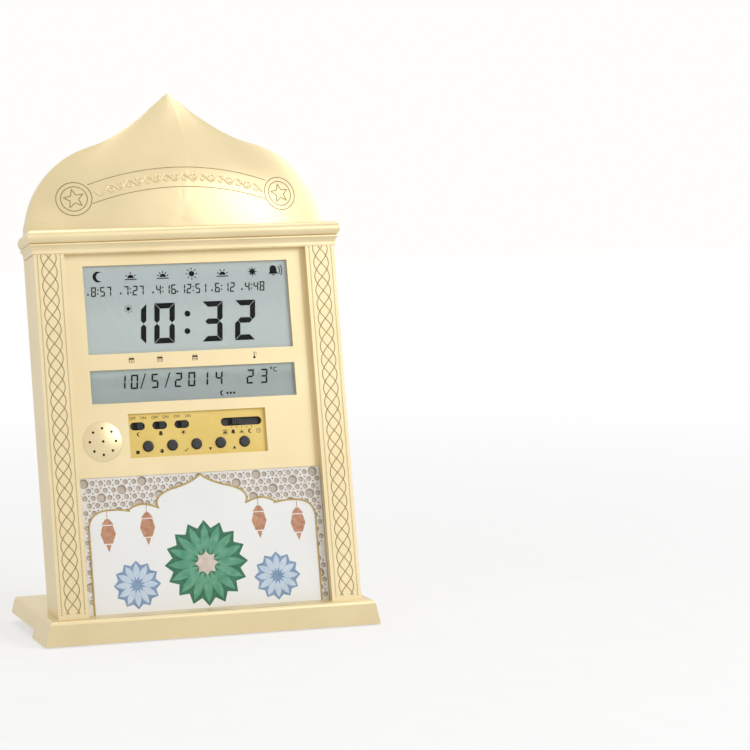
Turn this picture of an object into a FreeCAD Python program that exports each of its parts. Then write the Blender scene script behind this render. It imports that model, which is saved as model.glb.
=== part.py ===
"""Prayer-time table clock: a leaning arched case on a plinth, with two displays, keys and a picture.

Millimetres. The row frame has +Z up and the front facing -Y. The case is built upright in its own
frame, with X across, Y back from its face and Z up the face, and is then leaned back onto the plinth.
"""

import FreeCAD, Part
import math
import os

# Driving dimensions of the plinth
BASE_DEPTH = 95.0
BASE_HEIGHT = 15.0
BASE_HALF_BOTTOM = 100.0
BASE_END_SLOPE = 3.5
BASE_EDGE_ROUND = 2.4
BASE_WALL = 2.4
FOOT_DEPTH = 35.0
SHELF_RISE = 5.5
PAD_PROUD = 0.8
PAD_THICK = 2.0
PAD_RADIUS = 5.0
PAD_INSET = 16.0
COVER_SCREW_INSET = 20.0
REAR_POST_RADIUS = 7.5
COVER_THICK = 2.0

# Driving dimensions of the case
LEAN_DEG = 12.0
CASE_SETBACK = 7.0
CASE_HALF = 90.5
CASE_DEPTH = 24.5
CASE_TOP = 213.0
CASE_WALL = 2.4
PILLAR_WIDTH = 17.8
RECESS_HALF = CASE_HALF - PILLAR_WIDTH
RECESS_TOP = 209.15
RECESS_DEPTH = 5.0
RECESS_WALL = 2.0
BACK_THICK = 2.5

# Driving dimensions of the cornice
CORNICE_FOOT = 209.6
CORNICE_NECK = 215.2
CORNICE_TOP = 223.4
CORNICE_REACH = 3.5
CORNICE_SHELL = 3.0

# Driving dimensions of the dome
DOME_HALF = CASE_HALF - 0.7
DOME_HEIGHT = 81.8
DOME_RIM = 16.5
DOME_WALL = 2.4
ARCH_HEIGHT = 64.0

# Driving dimensions of the front panel
PANEL_THICK = 2.0
PANEL_OVERLAP = 3.6
EAR_REACH = 7.0
EAR_HEIGHT = 12.0
PICTURE_TOP = 79.7
PICTURE_REBATE = 1.0
CARD_THICK = 0.4
WINDOW_CENTRE = 0.5
WINDOW_WIDTH = 123.3
WINDOW_THICK = 1.4
MAIN_WINDOW_LOW = 150.8
MAIN_WINDOW_HIGH = 202.4
DATE_WINDOW_LOW = 122.1
DATE_WINDOW_HIGH = 141.5
GLASS_BORDER = 2.0
GLASS_THICK = 2.2
FRAME_WALL = 1.6
BOARD_FRONT = 12.0
BOARD_THICK = 1.6
BOARD_HALF = RECESS_HALF + 0.3
STRIP_HEIGHT = 2.0

# Driving dimensions of the controls
PLATE_LEFT = -40.5
PLATE_RIGHT = 42.0
PLATE_LOW = 90.0
PLATE_HIGH = 115.6
PLATE_SINK = 2.0
PLATE_THICK = 2.0
PLATE_FLANGE = 1.5
KEY_ROW = 96.5
KEY_PITCH = 14.5
KEY_RADIUS = 3.0
KEY_GAP = 0.3
KEY_PROUD = 1.5
KEY_TRAVEL = 0.8
KEY_COLLAR_RADIUS = 4.2
KEY_COLLAR_THICK = 0.8
KEY_STEM_RADIUS = 1.6
KEY_STEM_LENGTH = 0.6
KEY_NAMES = ("stop_button", "city_button", "set_button", "down_button", "up_button")
SLIDE_ROW = 108.4
SLIDE_FIRST = -34.8
SLIDE_PITCH = 13.25
SLOT_LENGTH = 8.8
SLOT_HEIGHT = 4.6
KNOB_LENGTH = 3.6
KNOB_HEIGHT = 3.8
KNOB_PROUD = 0.5
SLIDE_TRAVEL = 3.0
SLIDE_NAMES = ("left_slide_knob", "middle_slide_knob", "right_slide_knob")
MODE_CENTRE = 27.6
MODE_SLOT_LENGTH = 24.8
MODE_SLOT_HEIGHT = 4.8
MODE_STEP = 3.03
MODE_KNOB_LENGTH = 5.0
MODE_REST_STEP = 1
SWITCH_BOARD_FRONT = 13.0

# Driving dimensions of the loudspeaker
SPEAKER_X = -56.5
SPEAKER_Z = 100.4
GRILLE_RADIUS = 11.7
GRILLE_RISE = 1.8
GRILLE_THICK = 1.5
GRILLE_FLANGE = 1.5
GRILLE_HOLE_RADIUS = 0.75
GRILLE_HOLE_RING = 7.7
GRILLE_HOLE_COUNT = 8
BASKET_WALL = 0.8
BASKET_DEPTH = 5.0
MAGNET_RADIUS = 7.0
MAGNET_THICK = 4.5

# Driving dimensions of the battery bay
CELL_RADIUS = 7.1
CELL_LENGTH = 50.0
CELL_NUB_RADIUS = 2.6
CELL_NUB_LENGTH = 1.0
SPRING_ROOM = 9.0
BAY_CENTRE = 42.0
BAY_LENGTH = CELL_LENGTH + SPRING_ROOM
BAY_WALL = 1.6
BAY_FLOOR = 9.7
CELL_GAP = 0.4
DOOR_THICK = 2.4
DOOR_GAP = 0.25
CONTACT_THICK = 0.5

# Fasteners and fits
SCREW_RADIUS = 1.3
SCREW_HEAD_RADIUS = 2.5
SCREW_HEAD_THICK = 1.7
BOSS_RADIUS = 3.4
THREAD_GAP = 0.05
SEAT_GAP = 0.1
SMALL_BOSS_RADIUS = 2.6

# Worked-out sizes
LEAN = math.radians(LEAN_DEG)
BACK_PLANE = CASE_DEPTH + BACK_THICK
PANEL_FRONT = RECESS_DEPTH
PANEL_BACK = PANEL_FRONT + PANEL_THICK
DOME_TIP = CORNICE_TOP + DOME_HEIGHT
TIP_BACK = CASE_SETBACK + BACK_PLANE * math.cos(LEAN) + DOME_TIP * math.sin(LEAN)
ORIGIN_BACK = max(BASE_DEPTH, TIP_BACK) / 2
PLINTH_FRONT = -ORIGIN_BACK
CASE_INNER = CASE_HALF - CASE_WALL
FAR = 500.0


def box(x, y, z):
    """A block between the two ends of each of its three spans."""
    size = [span[1] - span[0] for span in (x, y, z)]
    return Part.makeBox(*size, FreeCAD.Vector(x[0], y[0], z[0]))


def rod(x, z, radius, y_from, y_to):
    """A cylinder along the depth of the case."""
    start = FreeCAD.Vector(x, y_from, z)
    return Part.makeCylinder(radius, y_to - y_from, start, FreeCAD.Vector(0, 1, 0))


def post(x, y, radius, z_from, z_to):
    """An upright cylinder."""
    return Part.makeCylinder(radius, z_to - z_from, FreeCAD.Vector(x, y, z_from))


def cone(x, z, r_front, r_back, y_from, y_to):
    """A cone frustum along the depth of the case."""
    start = FreeCAD.Vector(x, y_from, z)
    return Part.makeCone(r_front, r_back, y_to - y_from, start, FreeCAD.Vector(0, 1, 0))


def joined(shapes):
    """One solid from pieces that overlap or meet."""
    return shapes[0].multiFuse(shapes[1:]).removeSplitter()


def leaned(shape):
    """Takes a shape from the case's frame to the row frame."""
    placed = shape.copy()
    placed.rotate(FreeCAD.Vector(0, 0, 0), FreeCAD.Vector(1, 0, 0), -LEAN_DEG)
    placed.translate(FreeCAD.Vector(0, PLINTH_FRONT + CASE_SETBACK, BASE_HEIGHT))
    return placed


def on_plinth(shape, lift=0.0):
    """A leaned shape, cut level where it stands on the plinth or lift above it."""
    below = box((-FAR, FAR), (-FAR, FAR), (-FAR, BASE_HEIGHT + lift))
    return leaned(shape).cut(below)


def screw(x, z, y_tip, y_seat, radius=SCREW_RADIUS, head=SCREW_HEAD_RADIUS):
    """A pan-head screw along the depth of the case, driven from the back."""
    shank = rod(x, z, radius, y_tip, y_seat + SCREW_HEAD_THICK / 2)
    crown = rod(x, z, head, y_seat, y_seat + SCREW_HEAD_THICK)
    slot_half = 0.35
    slot_depth = 0.8
    slot = box(
        (x - head, x + head),
        (y_seat + SCREW_HEAD_THICK - slot_depth, y_seat + SCREW_HEAD_THICK),
        (z - slot_half, z + slot_half),
    )
    return shank.fuse(crown).cut(slot)


def upright_screw(x, y, z_seat, z_tip):
    """A pan-head screw that points up, with its head under z_seat."""
    shank = post(x, y, SCREW_RADIUS, z_seat - SCREW_HEAD_THICK / 2, z_tip)
    crown = post(x, y, SCREW_HEAD_RADIUS, z_seat - SCREW_HEAD_THICK, z_seat)
    return shank.fuse(crown)


def save(name, shape):
    """Writes one node."""
    shape.exportStep(os.path.join("parts", name + ".step"))


# Places shared by pieces that are fastened together
def cover_screw_places():
    """Where the six screws hold the plinth's cover, as x and y in the row frame."""
    front = PLINTH_FRONT + FOOT_DEPTH / 2
    rear = PLINTH_FRONT + BASE_DEPTH - 9.0
    outer = BASE_HALF_BOTTOM - COVER_SCREW_INSET
    inner = outer - 8.0
    return [(x, front) for x in (-inner, 0.0, inner)] + [(x, rear) for x in (-outer, 0.0, outer)]


def body_screw_places():
    """Where the four screws come up through the plinth into the case."""
    mid_depth = (CASE_DEPTH + PANEL_BACK) / 2 + 1.5
    y = PLINTH_FRONT + CASE_SETBACK + mid_depth / math.cos(LEAN)
    outer = CASE_HALF - 20.5
    return [(x, y) for x in (-outer, -outer + 30.0, outer - 30.0, outer)]


def back_screw_places():
    """Where the back cover is screwed to the case."""
    return [(side * (CASE_HALF - 7.5), z) for side in (-1, 1) for z in (24.0, 104.0, 184.0)]


def dome_screw_places():
    """Where the back cover is screwed to the dome, with the depth at which each boss starts."""
    return [(-48.0, 243.0, 6.0), (48.0, 243.0, 6.0), (0.0, 262.0, 6.5)]


def panel_screw_places():
    """Where the ears of the front panel are screwed to the case."""
    reach = RECESS_HALF + PANEL_OVERLAP + EAR_REACH / 2
    return [(side * reach, z) for side in (-1, 1) for z in (52.0, 132.0, 200.0)]


def board_screw_places():
    """Where the main board is screwed to the front panel."""
    inset = 3.0
    return [(side * (BOARD_HALF - inset), z) for side in (-1, 1) for z in (120.0, 203.5)]


def pediment_screw_places():
    """Where the dome is screwed down through the cornice, as x and y in the case's frame."""
    return [(x, 18.0) for x in (-60.0, 0.0, 60.0)]


def key_x(index):
    """Centre of one of the five keys."""
    return (index - 2) * KEY_PITCH - 0.2


def slide_x(index):
    """Centre of one of the three small slide slots."""
    return SLIDE_FIRST + index * SLIDE_PITCH


# Plinth
def base_outer():
    """The plinth's outside: ends that slope out to the floor, and a raised shelf behind."""
    top_half = BASE_HALF_BOTTOM - BASE_END_SLOPE
    back = PLINTH_FRONT + BASE_DEPTH
    corners = [
        (-BASE_HALF_BOTTOM, PAD_PROUD),
        (BASE_HALF_BOTTOM, PAD_PROUD),
        (top_half, BASE_HEIGHT),
        (-top_half, BASE_HEIGHT),
    ]
    points = [FreeCAD.Vector(x, PLINTH_FRONT, z) for x, z in corners]
    face = Part.Face(Part.makePolygon(points + points[:1]))
    solid = face.extrude(FreeCAD.Vector(0, BASE_DEPTH, 0))
    top_edges = []
    for edge in solid.Edges:
        bounds = edge.BoundBox
        if bounds.ZMin > BASE_HEIGHT - 0.01:
            top_edges.append(edge)
    solid = solid.makeFillet(BASE_EDGE_ROUND, top_edges)
    shelf_gap = box((-FAR, FAR), (PLINTH_FRONT + FOOT_DEPTH, back + 1), (-1, SHELF_RISE))
    return solid.cut(shelf_gap)


def base_stand():
    """The plinth's moulded shell, open underneath, with bosses for its cover."""
    inner_half = BASE_HALF_BOTTOM - BASE_END_SLOPE - BASE_WALL
    back = PLINTH_FRONT + BASE_DEPTH
    ceiling = BASE_HEIGHT - BASE_WALL
    cavity = box(
        (-inner_half, inner_half),
        (PLINTH_FRONT + BASE_WALL, back - BASE_WALL),
        (-1, ceiling),
    )
    solid = base_outer().cut(cavity)
    front_level = PAD_PROUD + COVER_THICK
    rear_level = SHELF_RISE + COVER_THICK
    for x, y in cover_screw_places():
        foot = front_level if y < PLINTH_FRONT + FOOT_DEPTH else rear_level
        solid = solid.fuse(post(x, y, BOSS_RADIUS, foot, ceiling + 0.5))
        solid = solid.cut(post(x, y, SCREW_RADIUS + THREAD_GAP, foot - 1, ceiling))
    for x, y in body_screw_places():
        solid = solid.cut(post(x, y, SCREW_RADIUS + 2 * THREAD_GAP, ceiling - 1, BASE_HEIGHT + 1))
    return solid.removeSplitter()


def pad_places():
    """Where the four rubber pads sit, as x and y in the row frame."""
    front = PLINTH_FRONT + FOOT_DEPTH / 2 - 4.0
    rear = PLINTH_FRONT + BASE_DEPTH - PAD_INSET
    outer = BASE_HALF_BOTTOM - PAD_INSET
    inner = outer - 24.0
    return [(-outer, front), (outer, front), (-inner, rear), (inner, rear)]


def base_cover():
    """The stepped plate that closes the plinth from below, with two rear posts to stand on."""
    half = BASE_HALF_BOTTOM - BASE_END_SLOPE - BASE_WALL - SEAT_GAP
    front = PLINTH_FRONT + BASE_WALL + SEAT_GAP
    step = PLINTH_FRONT + FOOT_DEPTH
    back = PLINTH_FRONT + BASE_DEPTH - BASE_WALL - SEAT_GAP
    pieces = [
        box((-half, half), (front, step), (PAD_PROUD, PAD_PROUD + COVER_THICK)),
        box((-half, half), (step - COVER_THICK, step), (PAD_PROUD, SHELF_RISE + COVER_THICK)),
        box((-half, half), (step - COVER_THICK, back), (SHELF_RISE, SHELF_RISE + COVER_THICK)),
    ]
    for x, y in pad_places()[2:]:
        pieces.append(post(x, y, REAR_POST_RADIUS, PAD_PROUD, SHELF_RISE + COVER_THICK))
    plate = joined(pieces)
    for x, y in pad_places():
        plate = plate.cut(post(x, y, PAD_RADIUS + SEAT_GAP, -1, PAD_THICK))
    for x, y in cover_screw_places():
        level = PAD_PROUD if y < step else SHELF_RISE
        plate = plate.cut(post(x, y, SCREW_RADIUS + THREAD_GAP, 0, level + COVER_THICK + 1))
        sink = level + SCREW_HEAD_THICK - 0.5
        plate = plate.cut(post(x, y, SCREW_HEAD_RADIUS + THREAD_GAP, level - 1, sink))
    return plate


def base_cover_screws():
    """Six screws that hold the plinth's cover, their heads sunk almost flush."""
    screws = []
    for x, y in cover_screw_places():
        level = PAD_PROUD if y < PLINTH_FRONT + FOOT_DEPTH else SHELF_RISE
        seat = level + SCREW_HEAD_THICK - 0.5
        tip = min(seat + 7.0, BASE_HEIGHT - BASE_WALL - 0.3)
        crown = post(x, y, SCREW_HEAD_RADIUS, seat - SCREW_HEAD_THICK + 0.7, seat)
        screws.append(crown.fuse(post(x, y, SCREW_RADIUS, seat - 0.5, tip)))
    return Part.makeCompound(screws)


def rubber_feet():
    """Four round pads that the clock stands on."""
    pads = []
    for x, y in pad_places():
        pad = post(x, y, PAD_RADIUS, 0, PAD_THICK)
        low = [edge for edge in pad.Edges if edge.BoundBox.ZMax < 0.01]
        pads.append(pad.makeChamfer(0.4, low))
    return Part.makeCompound(pads)


def body_screws():
    """Four screws from inside the plinth up into the case."""
    seat = BASE_HEIGHT - BASE_WALL
    return Part.makeCompound([upright_screw(x, y, seat, seat + 10.0) for x, y in body_screw_places()])


# Case
def front_housing():
    """The case's front shell: two broad pillars, a thin head rail, side walls and a floor."""
    outer = on_plinth(box((-CASE_HALF, CASE_HALF), (0, CASE_DEPTH), (-20, CASE_TOP)))
    inner_top = CASE_TOP - CASE_WALL
    inner = on_plinth(
        box((-CASE_INNER, CASE_INNER), (CASE_WALL, CASE_DEPTH + 1), (-20, inner_top)),
        CASE_WALL,
    )
    return_half = RECESS_HALF + RECESS_WALL
    rail = box(
        (-return_half, return_half),
        (0, RECESS_DEPTH),
        (-20, RECESS_TOP + RECESS_WALL),
    )
    shell = outer.cut(inner).fuse(on_plinth(rail))
    mouth = box((-RECESS_HALF, RECESS_HALF), (-1, PANEL_BACK + PICTURE_REBATE + 0.3), (-30, RECESS_TOP))
    seat_half = RECESS_HALF + PANEL_OVERLAP + SEAT_GAP
    seat = box(
        (-seat_half, seat_half),
        (RECESS_DEPTH, PANEL_BACK + PICTURE_REBATE + 0.3),
        (-30, RECESS_TOP),
    )
    shell = shell.cut(leaned(mouth)).cut(leaned(seat))
    for x, z in panel_screw_places():
        shell = shell.fuse(leaned(rod(x, z, BOSS_RADIUS, CASE_WALL / 2, RECESS_DEPTH)))
        shell = shell.cut(leaned(rod(x, z, SCREW_RADIUS + THREAD_GAP, CASE_WALL / 2, FAR)))
    for x, z in back_screw_places():
        shell = shell.fuse(leaned(rod(x, z, BOSS_RADIUS, CASE_WALL / 2, CASE_DEPTH)))
        shell = shell.cut(leaned(rod(x, z, SCREW_RADIUS + THREAD_GAP, CASE_DEPTH / 2, FAR)))
    floor_level = BASE_HEIGHT + CASE_WALL
    for x, y in body_screw_places():
        shell = shell.fuse(post(x, y, BOSS_RADIUS, BASE_HEIGHT, floor_level + 7.0))
        shell = shell.cut(post(x, y, SCREW_RADIUS + THREAD_GAP, BASE_HEIGHT - 1, floor_level + 6.0))
    for x, y in pediment_screw_places():
        shell = shell.cut(leaned(post(x, y, SCREW_RADIUS + THREAD_GAP, inner_top - 1, CASE_TOP + 1)))
    return shell.removeSplitter()


def cornice_profile(outward):
    """The cornice's section as a wire of lines and arcs; outward makes a point from reach and height."""
    neck_reach = CORNICE_REACH - 1.2
    bead_reach = CORNICE_REACH - 2.5
    foot_reach = 0.7
    cove_mid = outward(foot_reach + 0.45, CORNICE_NECK - 2.2)
    bead_mid = outward(CORNICE_REACH, (CORNICE_NECK + CORNICE_TOP) / 2)
    foot = outward(foot_reach, CORNICE_FOOT)
    cove_low = outward(foot_reach, CORNICE_FOOT + 1.2)
    cove_high = outward(neck_reach, CORNICE_NECK - 0.8)
    neck = outward(neck_reach, CORNICE_NECK)
    bead_low = outward(bead_reach, CORNICE_NECK)
    bead_high = outward(bead_reach, CORNICE_TOP)
    inside_high = outward(-FAR / 2, CORNICE_TOP)
    inside_low = outward(-FAR / 2, CORNICE_FOOT)
    return Part.Wire(
        [
            Part.makeLine(inside_low, foot),
            Part.makeLine(foot, cove_low),
            Part.Arc(cove_low, cove_mid, cove_high).toShape(),
            Part.makeLine(cove_high, neck),
            Part.makeLine(neck, bead_low),
            Part.Arc(bead_low, bead_mid, bead_high).toShape(),
            Part.makeLine(bead_high, inside_high),
            Part.makeLine(inside_high, inside_low),
        ]
    )


def cornice_moulding():
    """A bead over a cove that runs round the front and both sides of the case."""
    front_wire = cornice_profile(lambda reach, z: FreeCAD.Vector(-FAR / 2, -reach, z))
    solid = Part.Face(front_wire).extrude(FreeCAD.Vector(FAR, 0, 0))
    for side in (-1, 1):
        side_wire = cornice_profile(
            lambda reach, z: FreeCAD.Vector(side * (CASE_HALF + reach), -FAR / 4, z)
        )
        solid = solid.common(Part.Face(side_wire).extrude(FreeCAD.Vector(0, FAR / 2, 0)))
    solid = solid.cut(box((-FAR, FAR), (CASE_DEPTH, FAR), (0, FAR)))
    case = CASE_HALF + SEAT_GAP
    solid = solid.cut(box((-case, case), (-SEAT_GAP, FAR), (0, CASE_TOP)))
    pocket = box(
        (-CASE_INNER, CASE_INNER),
        (CORNICE_SHELL, CASE_DEPTH - CORNICE_SHELL),
        (CASE_TOP - 1, CORNICE_TOP - CORNICE_SHELL),
    )
    solid = solid.cut(pocket)
    for x, y in pediment_screw_places():
        solid = solid.fuse(post(x, y, BOSS_RADIUS, CASE_TOP, CORNICE_TOP - CORNICE_SHELL + 1))
        solid = solid.cut(post(x, y, SCREW_RADIUS + THREAD_GAP, CASE_TOP - 1, CORNICE_TOP + 1))
    return leaned(solid.removeSplitter())


# Half-widths of the dome's ogee outline against height, as shares of its half-width and height
OGEE = (
    (1.0, 0.0),
    (0.99, 0.098),
    (0.96, 0.208),
    (0.90, 0.342),
    (0.81, 0.464),
    (0.71, 0.548),
    (0.61, 0.601),
    (0.47, 0.652),
    (0.345, 0.72),
    (0.226, 0.805),
    (0.125, 0.89),
    (0.06, 0.95),
    (0.018, 0.986),
    (0.0, 1.0),
)

# The dome's section: how far each contour stands in from the rim, and how deep it lies behind the face
DOME_CONTOURS = (
    (0.05, 0.001),
    (0.22, 0.022),
    (0.42, 0.11),
    (0.6, 0.29),
    (0.75, 0.53),
    (0.87, 0.765),
    (0.95, 0.92),
    (1.0, 1.0),
)


def dome_contour(share, half, height, foot, depth, hidden=False):
    """A closed contour of the dome; low shares are a plain arch and high ones the ogee.

    Hidden contours, for the hollow inside, keep a plainer curve up to the tip.
    """
    ogee = share ** (3 if hidden else 8)
    points = []
    for index, (across, up) in enumerate(OGEE):
        turn = math.pi / 2 * index / (len(OGEE) - 1)
        wide = ogee * across * half + (1 - ogee) * math.cos(turn) * half
        tall = ogee * up * height + (1 - ogee) * math.sin(turn) * ARCH_HEIGHT
        points.append((share * wide, foot + share * tall))
    points[-1] = (0.0, points[-1][1])
    right = [FreeCAD.Vector(x, depth, z) for x, z in points]
    left = [FreeCAD.Vector(-x, depth, z) for x, z in reversed(points)]
    edges = []
    upward = FreeCAD.Vector(0, 0, 1)
    inward = FreeCAD.Vector(-1, 0, 0)
    for side, start, end in ((right, upward, inward), (left, inward, -upward)):
        curve = Part.BSplineCurve()
        if hidden:
            curve.interpolate(side)
        else:
            curve.interpolate(Points=side, InitialTangent=start, FinalTangent=end, Scale=True)
        edges.append(curve.toShape())
    edges.append(Part.makeLine(left[-1], right[0]))
    return Part.Wire(edges)


def dome_form(half, height, foot, front, back, hidden=False):
    """A dome-shaped solid: a swelling face that sinks to a rim, and a straight edge behind it."""
    sections = []
    for share, sunk in DOME_CONTOURS:
        sections.append(dome_contour(share, half, height, foot, front + sunk * DOME_RIM, hidden))
    face = Part.makeLoft(sections, True, False)
    rim = Part.Face(dome_contour(1.0, half, height, foot, front + DOME_RIM, hidden))
    return face.fuse(rim.extrude(FreeCAD.Vector(0, back - front - DOME_RIM, 0)))


def dome_pediment():
    """The onion-arch moulding above the cornice, hollow behind, with a floor and screw bosses."""
    outer = dome_form(DOME_HALF, DOME_HEIGHT, CORNICE_TOP, 0, CASE_DEPTH)
    inner = dome_form(
        DOME_HALF - DOME_WALL,
        DOME_HEIGHT - 3 * DOME_WALL,
        CORNICE_TOP + DOME_WALL,
        DOME_WALL,
        CASE_DEPTH + 1,
        hidden=True,
    )
    solid = outer.cut(inner)
    for x, z, start in dome_screw_places():
        solid = solid.fuse(rod(x, z, BOSS_RADIUS, start, CASE_DEPTH))
        solid = solid.cut(rod(x, z, SCREW_RADIUS + THREAD_GAP, CASE_DEPTH - 9.0, CASE_DEPTH + 1))
    for x, y in pediment_screw_places():
        boss_top = CORNICE_TOP + DOME_WALL + 6.0
        solid = solid.fuse(post(x, y, BOSS_RADIUS, CORNICE_TOP, boss_top))
        solid = solid.cut(post(x, y, SCREW_RADIUS + THREAD_GAP, CORNICE_TOP - 1, boss_top - 1))
    return leaned(solid)


def pediment_screws():
    """Three long screws from inside the case, through the cornice, into the dome."""
    seat = CASE_TOP - CASE_WALL
    tip = CORNICE_TOP + DOME_WALL + 4.0
    screws = [upright_screw(x, y, seat, tip) for x, y in pediment_screw_places()]
    return leaned(Part.makeCompound(screws))


# Back of the case
def bay_spans():
    """The battery bay's inside, as spans across and up."""
    half_height = 2 * CELL_RADIUS + 1.5 * CELL_GAP
    across = (-BAY_LENGTH / 2, BAY_LENGTH / 2)
    return across, (BAY_CENTRE - half_height, BAY_CENTRE + half_height)


def wider(span, by):
    """A span made longer at both ends."""
    return (span[0] - by, span[1] + by)


def back_cover():
    """The plate that closes case and dome from behind, with a moulded battery bay."""
    plate = box((-CASE_HALF, CASE_HALF), (CASE_DEPTH, BACK_PLANE), (-20, CORNICE_TOP))
    arch = Part.Face(dome_contour(1.0, DOME_HALF, DOME_HEIGHT, CORNICE_TOP, CASE_DEPTH))
    plate = plate.fuse(arch.extrude(FreeCAD.Vector(0, BACK_THICK, 0))).removeSplitter()
    lip = CASE_INNER - SEAT_GAP
    lip_top = CASE_TOP - CASE_WALL - 2.0
    outer_lip = box((-lip, lip), (CASE_DEPTH - 2.0, CASE_DEPTH), (12.0, lip_top))
    inner_lip = box((-lip + 1.4, lip - 1.4), (0, CASE_DEPTH), (13.4, lip_top - 1.4))
    plate = plate.fuse(outer_lip.cut(inner_lip))
    across, up = bay_spans()
    tub = box(wider(across, BAY_WALL), (BAY_FLOOR - BAY_WALL + 0.2, CASE_DEPTH + 0.1), wider(up, BAY_WALL))
    plate = plate.fuse(tub).cut(box(across, (BAY_FLOOR, BACK_PLANE + 1), up))
    door_seat = BACK_PLANE - DOOR_THICK
    doorway = box(wider(across, BAY_WALL + DOOR_GAP), (door_seat, BACK_PLANE + 1), wider(up, BAY_WALL + DOOR_GAP))
    plate = plate.cut(doorway)
    for x, z in back_screw_places() + [place[:2] for place in dome_screw_places()]:
        plate = plate.cut(rod(x, z, BOSS_RADIUS + 2 * SEAT_GAP, 0, CASE_DEPTH))
        plate = plate.cut(rod(x, z, SCREW_RADIUS + THREAD_GAP, CASE_DEPTH - 1, FAR))
    slot_half = 9.0
    slot_height = 1.4
    for row in range(6):
        z = SPEAKER_Z - 10.0 + 4.0 * row
        vent = box(
            (SPEAKER_X - slot_half, SPEAKER_X + slot_half), (CASE_DEPTH - 1, FAR), (z, z + slot_height)
        )
        plate = plate.cut(vent)
    return on_plinth(plate.removeSplitter(), 0.2)


def back_cover_screws():
    """Nine screws that hold the back cover to the case and the dome."""
    places = back_screw_places() + [place[:2] for place in dome_screw_places()]
    return leaned(Part.makeCompound([screw(x, z, BACK_PLANE - 8.0, BACK_PLANE) for x, z in places]))


def battery_door():
    """The flat door over the cells; it swings out about its rounded lower edge."""
    across, up = bay_spans()
    seat = BACK_PLANE - DOOR_THICK
    low, high = wider(up, BAY_WALL)
    left, right = wider(across, BAY_WALL)
    bead_radius = (BACK_PLANE - seat - 0.05) / 2
    bead_z = low + bead_radius
    slab = box((left, right), (seat + 0.05, BACK_PLANE), (bead_z, high))
    bead_start = FreeCAD.Vector(left, BACK_PLANE - bead_radius, bead_z)
    bead = Part.makeCylinder(bead_radius, right - left, bead_start, FreeCAD.Vector(1, 0, 0))
    door = slab.fuse(bead)
    for rib in range(4):
        z = high - 4.0 - 2.0 * rib
        door = door.cut(box((-8.0, 8.0), (BACK_PLANE - 0.6, BACK_PLANE + 1), (z, z + 0.9)))
    return leaned(door)


def cell_z(index):
    """Centre height of one of the two cells."""
    return BAY_CENTRE + (index * 2 - 1) * (CELL_RADIUS + CELL_GAP / 2)


def cell_middle():
    """Depth of the cells' axes."""
    return BAY_FLOOR + CELL_RADIUS + 0.1


def battery_cells():
    """Two round cells that lie side by side, one each way round."""
    cells = []
    for index in (0, 1):
        way = 1 - 2 * index
        start = FreeCAD.Vector(-way * CELL_LENGTH / 2, cell_middle(), cell_z(index))
        along = FreeCAD.Vector(way, 0, 0)
        can = Part.makeCylinder(CELL_RADIUS, CELL_LENGTH - CELL_NUB_LENGTH, start, along)
        cells.append(can.fuse(Part.makeCylinder(CELL_NUB_RADIUS, CELL_LENGTH, start, along)))
    return leaned(Part.makeCompound(cells))


def contact_spring(x, z, way):
    """One turn-tapered contact, as the plain space it takes."""
    start = FreeCAD.Vector(x, cell_middle(), z)
    length = (BAY_LENGTH - CELL_LENGTH) / 2 - CONTACT_THICK - SEAT_GAP
    return Part.makeCone(4.5, 2.8, length, start, FreeCAD.Vector(way, 0, 0))


def battery_springs():
    """The two tapered springs that press on the cells' flat ends."""
    left = -BAY_LENGTH / 2 + CONTACT_THICK
    return leaned(
        Part.makeCompound(
            [contact_spring(left, cell_z(0), 1), contact_spring(-left, cell_z(1), -1)]
        )
    )


def battery_contacts():
    """The spring and button plates at both ends of the bay."""
    plates = []
    half = 5.0
    end = BAY_LENGTH / 2
    middle = cell_middle()
    for index in (0, 1):
        z = cell_z(index)
        way = 1 - 2 * index
        for side in (-1, 1):
            x = (end - CONTACT_THICK) if side > 0 else -end
            plate = box((x, x + CONTACT_THICK), (middle - half, middle + half), (z - half, z + half))
            if side == way:
                reach = end - CELL_LENGTH / 2
                start = FreeCAD.Vector(side * end, middle, z)
                stud = Part.makeCylinder(2.0, reach, start, FreeCAD.Vector(-side, 0, 0))
                plate = plate.fuse(stud)
            plates.append(plate)
    return leaned(Part.makeCompound(plates))


# Front panel and displays
def window_span():
    """The displays' span across the panel."""
    return (WINDOW_CENTRE - WINDOW_WIDTH / 2, WINDOW_CENTRE + WINDOW_WIDTH / 2)


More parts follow.
